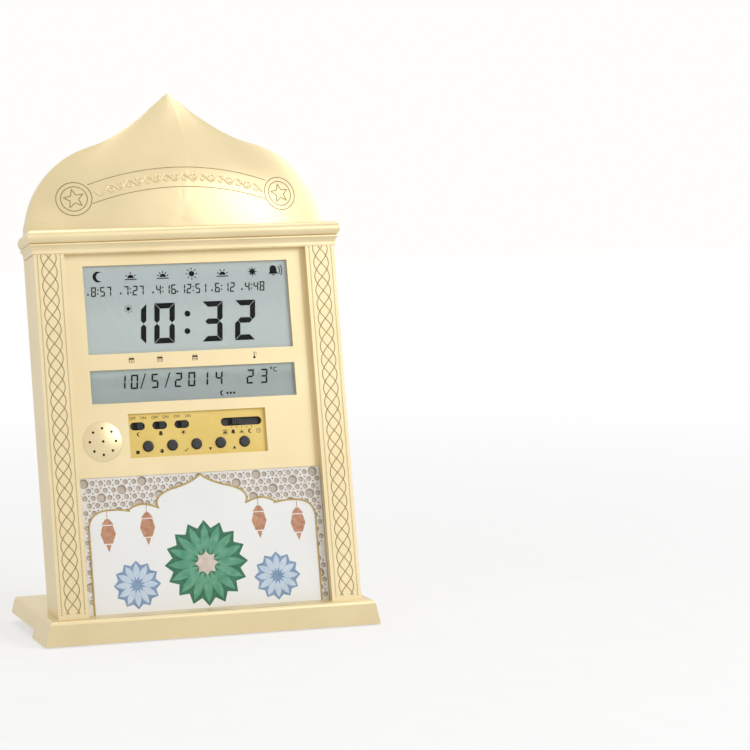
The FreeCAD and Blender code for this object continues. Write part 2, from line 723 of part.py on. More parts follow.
def fascia_panel():
    """The recessed panel behind the case's mouth, with the openings for displays and controls."""
    half = RECESS_HALF + PANEL_OVERLAP
    top = RECESS_TOP + RECESS_WALL / 2
    panel = box((-half, half), (PANEL_FRONT, PANEL_BACK), (PICTURE_TOP, top))
    ledge = box((-half, half), (PANEL_FRONT + PICTURE_REBATE, PANEL_BACK + PICTURE_REBATE), (-20, PICTURE_TOP + 3))
    panel = panel.fuse(ledge)
    for x, z in panel_screw_places():
        side = 1 if x > 0 else -1
        reach = sorted((side * (half - 1), side * (half + EAR_REACH)))
        ear_front = PANEL_FRONT
        ear_back = PANEL_BACK if z > PICTURE_TOP else PANEL_BACK + PICTURE_REBATE
        ear = box(reach, (ear_front, ear_back), (z - EAR_HEIGHT / 2, z + EAR_HEIGHT / 2))
        panel = panel.fuse(ear).cut(rod(x, z, SCREW_RADIUS + THREAD_GAP, 0, FAR))
    for low, high in ((MAIN_WINDOW_LOW, MAIN_WINDOW_HIGH), (DATE_WINDOW_LOW, DATE_WINDOW_HIGH)):
        panel = panel.cut(box(window_span(), (0, FAR), (low, high)))
    panel = panel.cut(box((PLATE_LEFT, PLATE_RIGHT), (0, FAR), (PLATE_LOW, PLATE_HIGH)))
    panel = panel.cut(rod(SPEAKER_X, SPEAKER_Z, GRILLE_RADIUS, 0, FAR))
    for x, z in board_screw_places():
        panel = panel.fuse(rod(x, z, SMALL_BOSS_RADIUS, PANEL_BACK - 0.5, BOARD_FRONT))
        panel = panel.cut(rod(x, z, SCREW_RADIUS - 0.3 + THREAD_GAP, PANEL_BACK, FAR))
    cleared = panel.cut(box((-half - 1, half + 1), (0, FAR), (-30, -20)))
    return on_plinth(cleared.removeSplitter(), SEAT_GAP)


def fascia_screws():
    """Six screws that hold the front panel's ears to the case."""
    screws = []
    for x, z in panel_screw_places():
        seat = PANEL_BACK if z > PICTURE_TOP else PANEL_BACK + PICTURE_REBATE
        screws.append(screw(x, z, CASE_WALL / 2 + 0.3, seat))
    return leaned(Part.makeCompound(screws))


def picture_card():
    """The printed card in the panel's rebate."""
    half = RECESS_HALF - SEAT_GAP
    front = PANEL_FRONT + PICTURE_REBATE - CARD_THICK
    return on_plinth(
        box((-half, half), (front, front + CARD_THICK), (-20, PICTURE_TOP - SEAT_GAP)), SEAT_GAP
    )


def picture_cover():
    """The clear sheet over the card."""
    half = RECESS_HALF - SEAT_GAP
    back = PANEL_FRONT + PICTURE_REBATE - CARD_THICK
    return on_plinth(box((-half, half), (PANEL_FRONT, back), (-20, PICTURE_TOP - SEAT_GAP)), SEAT_GAP)


def display_window(low, high):
    """A clear pane that fills its opening, a little below the panel's face."""
    left, right = window_span()
    pane = box(
        (left + SEAT_GAP, right - SEAT_GAP),
        (PANEL_BACK - WINDOW_THICK, PANEL_BACK),
        (low + SEAT_GAP, high - SEAT_GAP),
    )
    return leaned(pane)


def display_glass(low, high):
    """A liquid-crystal cell behind its pane."""
    return leaned(
        box(
            wider(window_span(), GLASS_BORDER),
            (PANEL_BACK, PANEL_BACK + GLASS_THICK),
            (low - GLASS_BORDER, high + GLASS_BORDER),
        )
    )


def display_frame(low, high):
    """The frame that centres a display between panel and board."""
    inner = wider(window_span(), GLASS_BORDER + SEAT_GAP)
    inner_up = wider((low, high), GLASS_BORDER + SEAT_GAP)
    ring = box(wider(inner, FRAME_WALL), (PANEL_BACK, BOARD_FRONT), wider(inner_up, FRAME_WALL))
    return leaned(ring.cut(box(inner, (0, FAR), inner_up)))


def contact_strips():
    """Rubber strips that join the displays' edges to the board."""
    strips = []
    left, right = wider(window_span(), -4.0)
    for low, high in ((MAIN_WINDOW_LOW, MAIN_WINDOW_HIGH), (DATE_WINDOW_LOW, DATE_WINDOW_HIGH)):
        for z in (low - GLASS_BORDER + 0.3, high + GLASS_BORDER - 0.3 - STRIP_HEIGHT):
            strips.append(
                box((left, right), (PANEL_BACK + GLASS_THICK, BOARD_FRONT), (z, z + STRIP_HEIGHT))
            )
    return leaned(Part.makeCompound(strips))


def main_board():
    """The board behind both displays."""
    board = box(
        (-BOARD_HALF, BOARD_HALF),
        (BOARD_FRONT, BOARD_FRONT + BOARD_THICK),
        (DATE_WINDOW_LOW - 5.0, MAIN_WINDOW_HIGH + 4.0),
    )
    for x, z in board_screw_places():
        board = board.cut(rod(x, z, SCREW_RADIUS - 0.3 + THREAD_GAP, 0, FAR))
    return leaned(board)


def board_screws():
    """Four small screws that hold the main board."""
    seat = BOARD_FRONT + BOARD_THICK
    return leaned(
        Part.makeCompound(
            [screw(x, z, PANEL_BACK + 0.6, seat, SCREW_RADIUS - 0.3, 2.0) for x, z in board_screw_places()]
        )
    )


def clock_chip():
    """The flat square controller on the back of the board."""
    back = BOARD_FRONT + BOARD_THICK
    body = box((-7.0, 7.0), (back, back + 2.0), (168.0, 182.0))
    legs = []
    for row in range(8):
        z = 169.2 + 1.6 * row
        legs.append(box((-8.5, 8.5), (back, back + 0.6), (z, z + 0.6)))
    return leaned(joined([body] + legs))


def quartz_crystal():
    """The crystal can that keeps the time."""
    back = BOARD_FRONT + BOARD_THICK
    can = Part.makeCylinder(1.5, 8.0, FreeCAD.Vector(14.0, back + 1.5, 172.0), FreeCAD.Vector(0, 0, 1))
    return leaned(can)


def board_capacitors():
    """Three upright electrolytic cans."""
    back = BOARD_FRONT + BOARD_THICK
    cans = [rod(-30.0 + 9.0 * index, 160.0, 2.5, back, back + 6.0) for index in range(3)]
    return leaned(Part.makeCompound(cans))


def temperature_sensor():
    """The bead that senses room temperature, on the board's lower corner."""
    back = BOARD_FRONT + BOARD_THICK
    return leaned(Part.makeSphere(1.6, FreeCAD.Vector(60.0, back + 1.62, 126.0)))


# Controls
def round_slot(x, length, height):
    """The space of a slot with round ends, on the slide switches' row."""
    radius = height / 2
    reach = length / 2 - radius
    middle = box((x - reach, x + reach), (0, FAR), (SLIDE_ROW - radius, SLIDE_ROW + radius))
    ends = [rod(x + side * reach, SLIDE_ROW, radius, 0, FAR) for side in (-1, 1)]
    return joined([middle] + ends)


def control_plate():
    """The sunk plate that carries the keys and the slide switches."""
    front = PANEL_FRONT + PLATE_SINK
    back = front + PLATE_THICK
    face = box(
        (PLATE_LEFT + SEAT_GAP, PLATE_RIGHT - SEAT_GAP),
        (front, back),
        (PLATE_LOW + SEAT_GAP, PLATE_HIGH - SEAT_GAP),
    )
    flange = box(
        wider((PLATE_LEFT, PLATE_RIGHT), PLATE_FLANGE),
        (PANEL_BACK, back),
        wider((PLATE_LOW, PLATE_HIGH), PLATE_FLANGE),
    )
    plate = face.fuse(flange)
    for index in range(len(KEY_NAMES)):
        plate = plate.cut(rod(key_x(index), KEY_ROW, KEY_RADIUS + KEY_GAP, 0, FAR))
    for index in range(len(SLIDE_NAMES)):
        plate = plate.cut(round_slot(slide_x(index), SLOT_LENGTH, SLOT_HEIGHT))
    plate = plate.cut(round_slot(MODE_CENTRE, MODE_SLOT_LENGTH, MODE_SLOT_HEIGHT))
    for x, z in switch_board_screws():
        plate = plate.fuse(rod(x, z, SMALL_BOSS_RADIUS, back - 0.5, SWITCH_BOARD_FRONT))
        plate = plate.cut(rod(x, z, SCREW_RADIUS - 0.3 + THREAD_GAP, back, FAR))
    return leaned(plate.removeSplitter())


def switch_board_screws():
    """Where the switch board is screwed to the control plate."""
    return [(PLATE_LEFT + 4.2, 101.6), (PLATE_RIGHT - 3.6, 101.6)]


def push_button(index):
    """A round key with a domed face, a collar behind the plate and a stem over its switch."""
    x = key_x(index)
    plate_front = PANEL_FRONT + PLATE_SINK
    collar_front = plate_front + PLATE_THICK + 0.2
    face = plate_front - KEY_PROUD
    key = rod(x, KEY_ROW, KEY_RADIUS, face, collar_front)
    front_edge = [edge for edge in key.Edges if edge.BoundBox.YMax < face + 0.01]
    key = key.makeFillet(0.9, front_edge)
    collar_back = collar_front + KEY_COLLAR_THICK
    collar = rod(x, KEY_ROW, KEY_COLLAR_RADIUS, collar_front, collar_back)
    stem = rod(x, KEY_ROW, KEY_STEM_RADIUS, collar_back, collar_back + KEY_STEM_LENGTH)
    return leaned(joined([key, collar, stem]))


def key_plunger_front():
    """Depth of the tactile switches' plungers, just beyond a pressed key's stem."""
    plate_back = PANEL_FRONT + PLATE_SINK + PLATE_THICK
    return plate_back + 0.2 + KEY_COLLAR_THICK + KEY_STEM_LENGTH + KEY_TRAVEL + SEAT_GAP


def key_switches():
    """Five tactile switches under the keys."""
    switches = []
    half = 3.0
    front = key_plunger_front() + 0.4
    for index in range(len(KEY_NAMES)):
        x = key_x(index)
        body = box(wider((x, x), half), (front, SWITCH_BOARD_FRONT), wider((KEY_ROW, KEY_ROW), half))
        switches.append(body.fuse(rod(x, KEY_ROW, KEY_STEM_RADIUS, key_plunger_front(), front + 0.1)))
    return leaned(Part.makeCompound(switches))


def slide_knob(x, length, height):
    """A ribbed slide knob with a foot that is held behind the plate."""
    plate_front = PANEL_FRONT + PLATE_SINK
    plate_back = plate_front + PLATE_THICK
    front = plate_front - KNOB_PROUD
    knob = box(wider((x, x), length / 2), (front, plate_back + 0.2), wider((SLIDE_ROW, SLIDE_ROW), height / 2))
    edges = []
    for edge in knob.Edges:
        if edge.BoundBox.YMax < front + 0.01:
            edges.append(edge)
    knob = knob.makeFillet(0.35, edges)
    foot = box(
        wider((x, x), length / 2 + 0.8),
        (plate_back + 0.2, plate_back + 1.0),
        wider((SLIDE_ROW, SLIDE_ROW), height / 2 + 1.2),
    )
    ribs = 3
    knob = knob.fuse(foot)
    for rib in range(ribs):
        centre = x + (rib - 1) * length / 4
        knob = knob.cut(
            box(wider((centre, centre), 0.18), (0, front + 0.4), wider((SLIDE_ROW, SLIDE_ROW), height))
        )
    return leaned(knob.removeSplitter())


def small_knob_x(index):
    """Where a small knob stands at rest: at the right-hand end of its travel."""
    return slide_x(index) + SLIDE_TRAVEL / 2


def mode_knob_x():
    """Where the mode knob stands at rest, on the second of five steps."""
    return MODE_CENTRE + (MODE_REST_STEP - 2) * MODE_STEP


def slide_switch_cases():
    """The three small slide switches' cases."""
    front = PANEL_FRONT + PLATE_SINK + PLATE_THICK + 1.2
    cases = []
    for index in range(len(SLIDE_NAMES)):
        x = slide_x(index)
        cases.append(
            box(wider((x, x), 5.0), (front, SWITCH_BOARD_FRONT), wider((SLIDE_ROW, SLIDE_ROW), 2.2))
        )
    return leaned(Part.makeCompound(cases))


def mode_switch_case():
    """The five-step slide switch's case."""
    front = PANEL_FRONT + PLATE_SINK + PLATE_THICK + 1.2
    half = MODE_SLOT_LENGTH / 2
    return leaned(
        box(wider((MODE_CENTRE, MODE_CENTRE), half), (front, SWITCH_BOARD_FRONT), wider((SLIDE_ROW, SLIDE_ROW), 2.4))
    )


def switch_board():
    """The board behind the control plate."""
    board = box(
        (PLATE_LEFT - 1.0, PLATE_RIGHT + 1.0),
        (SWITCH_BOARD_FRONT, SWITCH_BOARD_FRONT + BOARD_THICK),
        (PLATE_LOW - 1.0, PLATE_HIGH - 1.0),
    )
    for x, z in switch_board_screws():
        board = board.cut(rod(x, z, SCREW_RADIUS - 0.3 + THREAD_GAP, 0, FAR))
    return leaned(board)


def switch_board_fixings():
    """Two small screws that hold the switch board to the plate."""
    seat = SWITCH_BOARD_FRONT + BOARD_THICK
    tip = PANEL_FRONT + PLATE_SINK + PLATE_THICK + 0.5
    return leaned(
        Part.makeCompound(
            [screw(x, z, tip, seat, SCREW_RADIUS - 0.3, 2.0) for x, z in switch_board_screws()]
        )
    )


def ribbon_cable():
    """The flat lead that loops back from the main board to the switch board."""
    start = DATE_WINDOW_LOW - 3.0
    end = PLATE_HIGH - 3.0
    upper = BOARD_FRONT + BOARD_THICK
    lower = SWITCH_BOARD_FRONT + BOARD_THICK
    loop = 5.0
    thick = 0.6
    outline = [
        (upper, start - thick / 2),
        (upper, start + thick / 2),
        (lower + loop, start + thick / 2),
        (lower + loop, end - thick / 2),
        (lower, end - thick / 2),
        (lower, end + thick / 2),
        (lower + loop - thick, end + thick / 2),
        (lower + loop - thick, start - thick / 2),
    ]
    points = [FreeCAD.Vector(-8.0, y, z) for y, z in outline]
    strip = Part.Face(Part.makePolygon(points + points[:1])).extrude(FreeCAD.Vector(16.0, 0, 0))
    return leaned(strip)


# Loudspeaker
def speaker_cap(radius, rise, edge):
    """A lens-shaped slice whose rim lies at edge and whose crown stands rise in front of it."""
    ball = (radius**2 + rise**2) / (2 * rise)
    centre = FreeCAD.Vector(SPEAKER_X, edge - rise + ball, SPEAKER_Z)
    return Part.makeSphere(ball, centre).common(rod(SPEAKER_X, SPEAKER_Z, radius, edge - rise - 1, edge))


def speaker_grille():
    """The pierced domed cap in front of the loudspeaker."""
    radius = GRILLE_RADIUS - SEAT_GAP
    rim = rod(SPEAKER_X, SPEAKER_Z, radius, PANEL_FRONT, PANEL_BACK + 0.1)
    flange = rod(SPEAKER_X, SPEAKER_Z, GRILLE_RADIUS + GRILLE_FLANGE, PANEL_BACK, PANEL_BACK + 1.0)
    cap = joined([speaker_cap(radius, GRILLE_RISE, PANEL_FRONT), rim, flange])
    hollow_radius = radius - GRILLE_THICK
    hollow_front = PANEL_FRONT + 0.2
    cap = cap.cut(rod(SPEAKER_X, SPEAKER_Z, hollow_radius, hollow_front, FAR))
    cap = cap.cut(speaker_cap(hollow_radius, GRILLE_RISE - 0.6, hollow_front))
    holes = [(0.0, 0.0)]
    for index in range(GRILLE_HOLE_COUNT):
        turn = 2 * math.pi * index / GRILLE_HOLE_COUNT
        holes.append((GRILLE_HOLE_RING * math.cos(turn), GRILLE_HOLE_RING * math.sin(turn)))
    for across, up in holes:
        cap = cap.cut(rod(SPEAKER_X + across, SPEAKER_Z + up, GRILLE_HOLE_RADIUS, 0, FAR))
    return leaned(cap)


def basket_front():
    """Depth of the loudspeaker's front edge, against the grille's flange."""
    return PANEL_BACK + 1.0


def speaker_basket():
    """The loudspeaker's pressed basket."""
    front = basket_front()
    rim = front + 1.2
    back = front + BASKET_DEPTH
    radius = GRILLE_RADIUS + GRILLE_FLANGE
    outer = rod(SPEAKER_X, SPEAKER_Z, radius, front, rim).fuse(
        cone(SPEAKER_X, SPEAKER_Z, radius - 1.5, MAGNET_RADIUS, rim, back)
    )
    hollow = rod(SPEAKER_X, SPEAKER_Z, radius - 1.5 - BASKET_WALL, front, rim).fuse(
        cone(
            SPEAKER_X, SPEAKER_Z, radius - 1.5 - BASKET_WALL, MAGNET_RADIUS - BASKET_WALL, rim, back - BASKET_WALL
        )
    )
    return leaned(outer.cut(hollow))


def speaker_cone():
    """The loudspeaker's paper cone, held by its edge in the basket."""
    front = basket_front() + 0.2
    back = front + 2.6
    radius = GRILLE_RADIUS + GRILLE_FLANGE - 1.5 - BASKET_WALL - 0.3
    outer = cone(SPEAKER_X, SPEAKER_Z, radius, 4.2, front, back)
    hollow = cone(SPEAKER_X, SPEAKER_Z, radius - 0.5, 3.7, front, back - 0.4)
    return leaned(outer.cut(hollow))


def speaker_magnet():
    """The magnet on the basket's back."""
    front = basket_front() + BASKET_DEPTH
    return leaned(rod(SPEAKER_X, SPEAKER_Z, MAGNET_RADIUS, front, front + MAGNET_THICK))


def main():
    """Builds and writes every node."""
    os.makedirs("parts", exist_ok=True)
    main_display = (MAIN_WINDOW_LOW, MAIN_WINDOW_HIGH)
    date_display = (DATE_WINDOW_LOW, DATE_WINDOW_HIGH)
    nodes = {
        "base_stand": base_stand(),
        "base_cover": base_cover(),
        "base_cover_screws": base_cover_screws(),
        "rubber_feet": rubber_feet(),
        "body_screws": body_screws(),
        "front_housing": front_housing(),
        "cornice_moulding": cornice_moulding(),
        "dome_pediment": dome_pediment(),
        "pediment_screws": pediment_screws(),
        "back_cover": back_cover(),
        "back_cover_screws": back_cover_screws(),
        "battery_door": battery_door(),
        "battery_cells": battery_cells(),
        "battery_springs": battery_springs(),
        "battery_contacts": battery_contacts(),
        "fascia_panel": fascia_panel(),
        "fascia_screws": fascia_screws(),
        "picture_card": picture_card(),
        "picture_cover": picture_cover(),
        "main_display_window": display_window(*main_display),
        "date_display_window": display_window(*date_display),
        "main_display_glass": display_glass(*main_display),
        "date_display_glass": display_glass(*date_display),
        "main_display_frame": display_frame(*main_display),
        "date_display_frame": display_frame(*date_display),
        "contact_strips": contact_strips(),
        "main_board": main_board(),
        "board_screws": board_screws(),
        "clock_chip": clock_chip(),
        "quartz_crystal": quartz_crystal(),
        "board_capacitors": board_capacitors(),
        "temperature_sensor": temperature_sensor(),
        "control_plate": control_plate(),
        "key_switches": key_switches(),
        "slide_switch_cases": slide_switch_cases(),
        "mode_switch_case": mode_switch_case(),
        "mode_slide_knob": slide_knob(mode_knob_x(), MODE_KNOB_LENGTH, KNOB_HEIGHT),
        "switch_board": switch_board(),
        "switch_board_screws": switch_board_fixings(),
        "ribbon_cable": ribbon_cable(),
        "speaker_grille": speaker_grille(),
        "speaker_basket": speaker_basket(),
        "speaker_cone": speaker_cone(),
        "speaker_magnet": speaker_magnet(),
    }
    for index, name in enumerate(KEY_NAMES):
        nodes[name] = push_button(index)
    for index, name in enumerate(SLIDE_NAMES):
        nodes[name] = slide_knob(small_knob_x(index), KNOB_LENGTH, KNOB_HEIGHT)
    for name, shape in nodes.items():
        save(name, shape)


main()
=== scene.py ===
"""Dresses the prayer-time table clock: finishes, engraving, displays, marks, picture and studio."""

import logging
import math
from dataclasses import dataclass, field
from enum import Enum
from typing import Iterable, Sequence

import bpy
from mathutils import Matrix, Vector
from mathutils.bvhtree import BVHTree


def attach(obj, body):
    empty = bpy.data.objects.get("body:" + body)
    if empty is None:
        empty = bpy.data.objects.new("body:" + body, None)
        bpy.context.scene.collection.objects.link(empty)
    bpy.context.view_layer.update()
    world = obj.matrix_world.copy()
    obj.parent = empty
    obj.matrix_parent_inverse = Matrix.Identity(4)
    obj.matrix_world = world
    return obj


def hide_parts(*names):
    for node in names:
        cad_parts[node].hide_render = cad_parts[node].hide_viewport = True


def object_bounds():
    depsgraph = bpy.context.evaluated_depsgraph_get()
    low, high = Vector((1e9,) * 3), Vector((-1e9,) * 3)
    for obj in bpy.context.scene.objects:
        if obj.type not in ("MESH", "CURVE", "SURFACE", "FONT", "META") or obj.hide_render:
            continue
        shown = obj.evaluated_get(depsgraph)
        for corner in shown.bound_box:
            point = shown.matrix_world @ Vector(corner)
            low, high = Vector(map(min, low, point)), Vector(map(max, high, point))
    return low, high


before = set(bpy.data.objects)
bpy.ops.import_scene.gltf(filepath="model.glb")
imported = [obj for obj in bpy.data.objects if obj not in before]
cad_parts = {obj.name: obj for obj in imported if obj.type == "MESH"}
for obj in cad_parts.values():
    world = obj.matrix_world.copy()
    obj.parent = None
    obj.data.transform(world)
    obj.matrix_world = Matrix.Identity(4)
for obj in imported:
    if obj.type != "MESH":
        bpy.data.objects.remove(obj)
CAD_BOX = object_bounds()

logging.basicConfig(level=logging.INFO, format="%(message)s")
LOG = logging.getLogger("clock")

Point = tuple[float, float]
Outline = Sequence[Point]
Colour = tuple[float, float, float]
Place = tuple[float, float, float]
Range = tuple[float, float]

MM = 0.001

# The case's stance on the plinth
LEAN = math.radians(12.0)
CASE_SETBACK = 7.0
PLINTH_TOP = 15.0

# Depths behind the case's face, and heights up it, in the case's own frame
PANEL_FACE = 5.0
GLASS_FACE = 7.0
PLATE_FACE = 7.0
CARD_FACE = 5.6
PICTURE_TOP = 79.6


class Layer(Enum):
    """How far each printed layer stands in front of what it is printed on, in millimetres."""

    GROUND = 0.03
    PATTERN = 0.07
    FLOOR = 0.10
    WINDOW = 0.13
    MOTIF = 0.17
    DETAIL = 0.21
    TRIM = 0.26


def case_matrix() -> Matrix:
    """Placement of the case's upright frame, in metres, on the plinth.

    Returns:
        The matrix that leans a piece back and sets it on the plinth.
    """
    front = CAD_BOX[0].y + CASE_SETBACK * MM
    return Matrix.Translation((0, front, PLINTH_TOP * MM)) @ Matrix.Rotation(-LEAN, 4, "X")


CASE = case_matrix()
FLAT_TO_CASE = Matrix(((1, 0, 0, 0), (0, 0, -1, 0), (0, 1, 0, 0), (0, 0, 0, 1)))


# Materials
class Sheet:
    """A material's node tree, with short ways to add and join nodes."""

    def __init__(self, name: str) -> None:
        """Starts a material that holds one principled shader.

        Args:
            name: The material's name.
        """
        self.material = bpy.data.materials.new(name)
        self.material.use_nodes = True
        self.tree = self.material.node_tree
        self.shader = self.tree.nodes["Principled BSDF"]

    def add(self, kind: str, values: dict | None = None, **settings: object) -> bpy.types.Node:
        """Adds a node.

        Args:
            kind: The node's type name.
            values: Input values by input name or number.
            settings: The node's own properties.

        Returns:
            The new node.
        """
        node = self.tree.nodes.new(kind)
        for key, value in settings.items():
            setattr(node, key, value)
        for key, value in (values or {}).items():
            node.inputs[key].default_value = value
        return node

    def join(self, source: bpy.types.NodeSocket, node: bpy.types.Node, key: str | int) -> None:
        """Joins an output socket to a node's input."""
        self.tree.links.new(source, node.inputs[key])

    def case_coordinates(self) -> bpy.types.NodeSocket:
        """Coordinates in the case's own frame, in millimetres.

        Returns:
            The vector socket: X across, Y back from the face, Z up the face.
        """
        place = self.add("ShaderNodeTexCoord")
        mapping = self.add("ShaderNodeMapping", vector_type="TEXTURE")
        mapping.inputs["Location"].default_value = CASE.to_translation()
        mapping.inputs["Rotation"].default_value = (-LEAN, 0, 0)
        mapping.inputs["Scale"].default_value = (MM, MM, MM)
        self.join(place.outputs["Object"], mapping, "Vector")
        return mapping.outputs["Vector"]

    def noise(self, where: bpy.types.NodeSocket, scale: float, detail: float = 3.0) -> bpy.types.NodeSocket:
        """A noise over the given coordinates.

        Args:
            where: The coordinates in millimetres.
            scale: Features per millimetre.
            detail: Octaves.

        Returns:
            The noise's value socket.
        """
        node = self.add("ShaderNodeTexNoise", {"Scale": scale, "Detail": detail, "Roughness": 0.55})
        self.join(where, node, "Vector")
        return node.outputs["Fac"]

    def blend(
        self,
        share: bpy.types.NodeSocket,
        low: Colour,
        high: Colour,
        stops: Range = (0.3, 0.7),
    ) -> bpy.types.NodeSocket:
        """A colour between two, by a share from 0 to 1.

        Args:
            share: The share's socket.
            low: The colour below the first stop.
            high: The colour above the second stop.
            stops: The shares between which the colour changes.

        Returns:
            The colour socket.
        """
        ramp = self.add("ShaderNodeValToRGB")
        for element, stop, colour in zip(ramp.color_ramp.elements, stops, (low, high)):
            element.position = stop
            element.color = (*colour, 1)
        self.join(share, ramp, "Fac")
        return ramp.outputs["Color"]

    def spread(self, share: bpy.types.NodeSocket, low: float, high: float) -> bpy.types.NodeSocket:
        """Maps a share from 0..1 to low..high.

        Args:
            share: The share's socket.
            low: The value at a share of 0.
            high: The value at a share of 1.

        Returns:
            The value socket.
        """
        node = self.add("ShaderNodeMapRange", {"To Min": low, "To Max": high})
        self.join(share, node, "Value")
        return node.outputs["Result"]

    def roughen(self, height: bpy.types.NodeSocket, strength: float, depth_mm: float) -> None:
        """Gives the shader a bump.

        Args:
            height: The socket of the bump's height, from 0 to 1.
            strength: How strongly it shows.
            depth_mm: Its depth in millimetres.
        """
        bump = self.add("ShaderNodeBump", {"Strength": strength, "Distance": depth_mm * MM})
        self.join(height, bump, "Height")
        self.join(bump.outputs["Normal"], self.shader, "Normal")


@dataclass(frozen=True)
class Finish:
    """A surface whose colour, gloss and texture vary a little over it."""

    name: str
    low: Colour
    high: Colour
    gloss: Range = (0.4, 0.5)
    metal: float = 0.0
    patch: float = 0.05
    grain: float = 2.0
    grain_depth: float = 0.01
    grain_strength: float = 0.3
    shine: float = 0.5

    def make(self) -> bpy.types.Material:
        """Builds the node tree.

        Returns:
            The material.
        """
        sheet = Sheet(self.name)
        where = sheet.case_coordinates()
        broad = sheet.noise(where, self.patch)
        fine = sheet.noise(where, self.grain, 4.0)
        sheet.join(sheet.blend(broad, self.low, self.high), sheet.shader, "Base Color")
        sheet.join(sheet.spread(fine, *self.gloss), sheet.shader, "Roughness")
        sheet.shader.inputs["Metallic"].default_value = self.metal
        sheet.shader.inputs["Specular IOR Level"].default_value = self.shine
        sheet.roughen(fine, self.grain_strength, self.grain_depth)
        return sheet.material


@dataclass(frozen=True)
class ClearFinish:
    """A clear sheet with faint waviness."""

    name: str
    alpha: float = 0.06
    dark: Colour = (0.10, 0.11, 0.11)
    light: Colour = (0.14, 0.15, 0.15)
    gloss: Range = (0.04, 0.09)
    wave_scale: float = 0.03

    def make(self) -> bpy.types.Material:
        """Builds the node tree.

        Returns:
            The material.
        """
        sheet = Sheet(self.name)
        where = sheet.case_coordinates()
        wave = sheet.noise(where, self.wave_scale)
        sheet.join(sheet.blend(wave, self.dark, self.light), sheet.shader, "Base Color")
        sheet.shader.inputs["Alpha"].default_value = self.alpha
        sheet.join(sheet.spread(wave, *self.gloss), sheet.shader, "Roughness")
        sheet.roughen(wave, 0.1, 0.02)
        return sheet.material


@dataclass(frozen=True)
class DisplayFinish:
    """The grey-green face of a liquid-crystal display, with painted shade that darkens it towards its upper
    edge.
    """

    name: str
    unshaded_low_edge: float
    shaded_high_edge: float
    dark: Colour = (0.53, 0.61, 0.61)
    light: Colour = (0.60, 0.68, 0.67)
    gloss: Range = (0.3, 0.42)
    speckle_scale: float = 1.5
    speckle_share: float = 0.25

    def make(self) -> bpy.types.Material:
        """Builds the node tree.

        Returns:
            The material.
        """
        sheet = Sheet(self.name)
        where = sheet.case_coordinates()
        parts = sheet.add("ShaderNodeSeparateXYZ")
        sheet.join(where, parts, "Vector")
        # Painted shade: the colour runs from the light colour at the display's lower edge to the dark one
        # at its upper edge.
        rise = sheet.add("ShaderNodeMapRange", {"From Min": self.shaded_high_edge, "From Max": self.unshaded_low_edge})
        sheet.join(parts.outputs["Z"], rise, "Value")
        speckle = sheet.noise(where, self.speckle_scale)
        faint = sheet.add("ShaderNodeMath", {1: self.speckle_share}, operation="MULTIPLY")
        sheet.join(speckle, faint, 0)
        total = sheet.add("ShaderNodeMath", operation="ADD")
        sheet.join(rise.outputs["Result"], total, 0)
        sheet.join(faint.outputs[0], total, 1)
        sheet.join(sheet.blend(total.outputs[0], self.dark, self.light), sheet.shader, "Base Color")
        sheet.join(sheet.spread(speckle, *self.gloss), sheet.shader, "Roughness")
        sheet.roughen(speckle, 0.05, 0.01)
        return sheet.material


AnyFinish = Finish | ClearFinish | DisplayFinish


@dataclass
class Finishes:
    """Every finish of the clock, made once."""

    made: dict[str, bpy.types.Material] = field(default_factory=dict)

    def get(self, kind: AnyFinish) -> bpy.types.Material:
        """The material of a finish, made the first time it is asked for.

        Args:
            kind: The finish.

        Returns:
            Its material.
        """
        if kind.name not in self.made:
            self.made[kind.name] = kind.make()
        return self.made[kind.name]


# Gloss ranges that several finishes share
SATIN = (0.45, 0.55)
MATT = (0.5, 0.6)

GOLD = Finish(
    "champagne_paint",
    low=(0.74, 0.61, 0.36),
    high=(0.80, 0.67, 0.41),
    gloss=(0.30, 0.40),
    metal=0.5,
    patch=0.02,
    grain=4.0,
    grain_depth=0.004,
    grain_strength=0.35,
)
# Dark gold for the engraved lines and beads: painted shade, its darkness stands in for the shade inside the
# grooves.
GROOVE_SHADE_GOLD = Finish(
    "groove_shade_gold", (0.24, 0.19, 0.09), (0.34, 0.28, 0.14), gloss=SATIN, metal=0.35, patch=0.2
)
PLATE_GOLD = Finish(
    "plate_gold",
    low=(0.66, 0.48, 0.13),
    high=(0.72, 0.54, 0.17),
    gloss=(0.34, 0.44),
    metal=0.35,
    grain=4.0,
    grain_depth=0.004,
)
BLACK = Finish(
    "black_key_plastic", (0.010, 0.010, 0.012), (0.022, 0.022, 0.026), gloss=(0.28, 0.4), patch=0.3
)
INK = Finish("display_segment", (0.004, 0.005, 0.006), (0.008, 0.009, 0.010), gloss=MATT, shine=0.05)
PRINT_INK = Finish("plate_print", (0.03, 0.02, 0.012), (0.06, 0.04, 0.02), gloss=MATT, shine=0.15)
STEEL = Finish("zinc_screw", (0.42, 0.42, 0.43), (0.55, 0.55, 0.56), gloss=(0.25, 0.4), metal=0.9)
TIN = Finish("tinned_contact", (0.55, 0.55, 0.54), (0.68, 0.68, 0.67), gloss=(0.2, 0.35), metal=0.9)
RUBBER = Finish(
    "black_rubber",
    low=(0.015, 0.015, 0.015),
    high=(0.03, 0.03, 0.03),
    gloss=(0.7, 0.85),
    patch=0.1,
    grain=1.5,
    grain_depth=0.03,
)
WHITE_PLASTIC = Finish("white_plastic", (0.72, 0.72, 0.69), (0.8, 0.8, 0.77), gloss=SATIN)
BOARD = Finish("solder_mask", (0.02, 0.14, 0.05), (0.035, 0.2, 0.07), gloss=(0.3, 0.45), patch=0.2)
CELL = Finish("cell_sleeve", (0.03, 0.03, 0.035), (0.06, 0.06, 0.065), gloss=(0.25, 0.35), metal=0.4)
